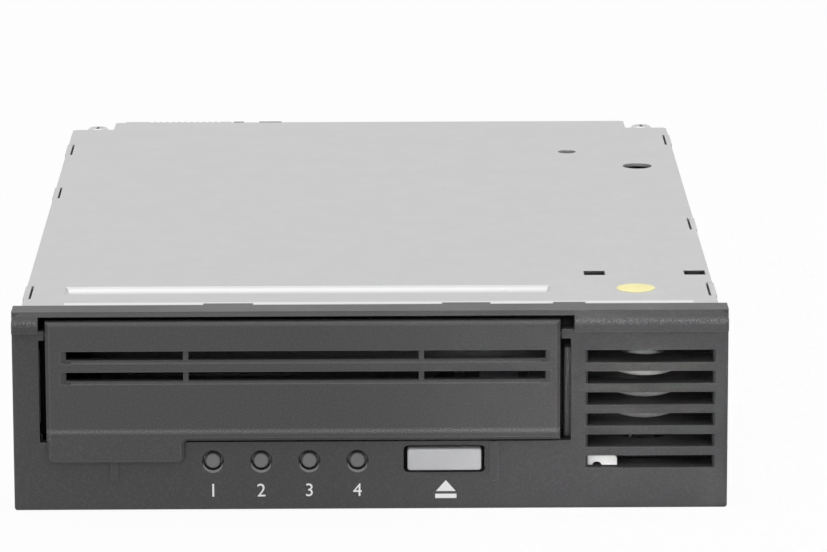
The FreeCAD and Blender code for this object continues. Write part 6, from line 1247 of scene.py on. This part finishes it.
class TAPEDRIVE_OT_stage(bpy.types.Operator):
    """Set the camera, lamps, floor and white background"""

    bl_idname = "tape_drive.stage"
    bl_label = "Studio"

    def execute(self, context):
        studio = context.scene.tape_drive_studio
        context.scene.view_settings.view_transform = "Standard"
        self.make_camera(context.scene, studio)
        self.make_floor(studio)
        self.make_world(context.scene, studio)
        for name, place, target, size, power, beam in LAMPS:
            self.make_lamp(name, place, target, size, getattr(studio, power), beam)
        return {"FINISHED"}

    def make_camera(self, scene, studio):
        """A long lens, a little above the drive, looking at its front."""
        data = bpy.data.cameras.new("camera")
        data.sensor_width = SENSOR_W
        data.lens = studio.lens
        data.clip_start, data.clip_end = CLIP_START, CLIP_END
        camera = bpy.data.objects.new("camera", data)
        scene.collection.objects.link(camera)
        camera.matrix_world = (Matrix.Translation(studio.camera_place)
                               @ Matrix.Rotation(-studio.camera_yaw, 4, "Z")
                               @ Matrix.Rotation(math.pi / 2 - studio.camera_pitch, 4, "X")
                               @ Matrix.Rotation(-studio.camera_roll, 4, "Z"))
        scene.camera = camera

    def make_lamp(self, name, place, target, size, power, beam):
        """A square soft lamp that points at a target, with a beam in degrees."""
        data = bpy.data.lights.new(name, "AREA")
        data.size = size
        data.energy = power
        data.spread = math.radians(beam)
        lamp = bpy.data.objects.new(name, data)
        bpy.context.scene.collection.objects.link(lamp)
        lamp.location = place
        lamp.rotation_euler = (Vector(target) - Vector(place)).to_track_quat("-Z", "Y").to_euler()

    def make_floor(self, studio):
        """A wide pale floor that keeps the drive's soft shadow."""
        bm = bmesh.new()
        bmesh.ops.create_grid(bm, x_segments=FLOOR_FIELDS, y_segments=FLOOR_FIELDS,
                              size=studio.floor_size / 2)
        mesh = bpy.data.meshes.new("floor")
        bm.to_mesh(mesh)
        bm.free()
        made, tree, shader = start_material("Pale Floor")
        shader.inputs["Base Color"].default_value = (*studio.floor_color, 1.0)
        shader.inputs["Roughness"].default_value = FLOOR_ROUGH
        shader.inputs["Specular IOR Level"].default_value = 0.0
        white = node(tree, "ShaderNodeEmission", Color=WHITE, Strength=1.0)
        mixed = tree.nodes.new("ShaderNodeMixShader")
        tree.links.new(self.seen_rays(tree, studio.floor_white), mixed.inputs["Fac"])
        tree.links.new(shader.outputs["BSDF"], mixed.inputs[1])
        tree.links.new(white.outputs["Emission"], mixed.inputs[2])
        output = next(n for n in tree.nodes if n.type == "OUTPUT_MATERIAL")
        tree.links.new(mixed.outputs["Shader"], output.inputs["Surface"])
        mesh.materials.append(made)
        floor = bpy.data.objects.new("floor", mesh)
        floor.location.z = -FLOOR_DROP
        bpy.context.scene.collection.objects.link(floor)

    def seen_rays(self, tree, share):
        """A factor that is share for camera, glossy and transmitted rays, and 0 for others."""
        path = tree.nodes.new("ShaderNodeLightPath")
        seen = math_node(tree, "MAXIMUM", path.outputs["Is Camera Ray"], path.outputs["Is Glossy Ray"])
        seen = math_node(tree, "MAXIMUM", seen, path.outputs["Is Transmission Ray"])
        return math_node(tree, "MULTIPLY", seen, share)

    def make_world(self, scene, studio):
        """Even light from all round, seen as plain white."""
        world = bpy.data.worlds.new("studio")
        scene.world = world
        world.use_nodes = True
        tree = world.node_tree
        tree.nodes.clear()
        soft = node(tree, "ShaderNodeBackground", Color=WHITE, Strength=studio.ambient)
        white = node(tree, "ShaderNodeBackground", Color=WHITE, Strength=1.0)
        mixed = tree.nodes.new("ShaderNodeMixShader")
        output = tree.nodes.new("ShaderNodeOutputWorld")
        tree.links.new(self.seen_rays(tree, 1.0), mixed.inputs["Fac"])
        tree.links.new(soft.outputs["Background"], mixed.inputs[1])
        tree.links.new(white.outputs["Background"], mixed.inputs[2])
        tree.links.new(mixed.outputs["Shader"], output.inputs["Surface"])


# ---- add-on -----------------------------------------------------------------

STEPS = (
    TAPEDRIVE_OT_stage, TAPEDRIVE_OT_case, TAPEDRIVE_OT_bezel, TAPEDRIVE_OT_door, TAPEDRIVE_OT_button,
    TAPEDRIVE_OT_lamps, TAPEDRIVE_OT_eject_symbol, TAPEDRIVE_OT_fan, TAPEDRIVE_OT_deck, TAPEDRIVE_OT_loader,
    TAPEDRIVE_OT_reels, TAPEDRIVE_OT_tape_path, TAPEDRIVE_OT_head, TAPEDRIVE_OT_boards,
    TAPEDRIVE_OT_connectors,
)


class TAPEDRIVE_PT_panel(bpy.types.Panel):
    """Settings and steps for the tape drive"""

    bl_idname = "TAPEDRIVE_PT_panel"
    bl_label = "Tape Drive"
    bl_space_type = "VIEW_3D"
    bl_region_type = "UI"
    bl_category = "Tape Drive"

    def draw(self, context):
        layout = self.layout
        for step in STEPS:
            layout.operator(step.bl_idname)
        for name in ("tape_drive_studio", "tape_drive_colors", "tape_drive_marks"):
            group = getattr(context.scene, name)
            box = layout.box()
            for key in group.__annotations__:
                box.prop(group, key)


SETTINGS = (
    ("tape_drive_studio", TapeDriveStudio), ("tape_drive_colors", TapeDriveColors),
    ("tape_drive_marks", TapeDriveMarks),
)


def register():
    """Add the settings, the steps and the panel."""
    for name, group in SETTINGS:
        bpy.utils.register_class(group)
        setattr(bpy.types.Scene, name, bpy.props.PointerProperty(type=group))
    for kind in (*STEPS, TAPEDRIVE_PT_panel):
        bpy.utils.register_class(kind)


def unregister():
    """Remove the panel, the steps and the settings."""
    for kind in reversed((*STEPS, TAPEDRIVE_PT_panel)):
        bpy.utils.unregister_class(kind)
    for name, group in SETTINGS:
        delattr(bpy.types.Scene, name)
        bpy.utils.unregister_class(group)


def main():
    """Register the add-on and run every step in order."""
    register()
    for step in STEPS:
        area, action = step.bl_idname.split(".")
        getattr(getattr(bpy.ops, area), action)()


if __name__ == "__main__":
    main()
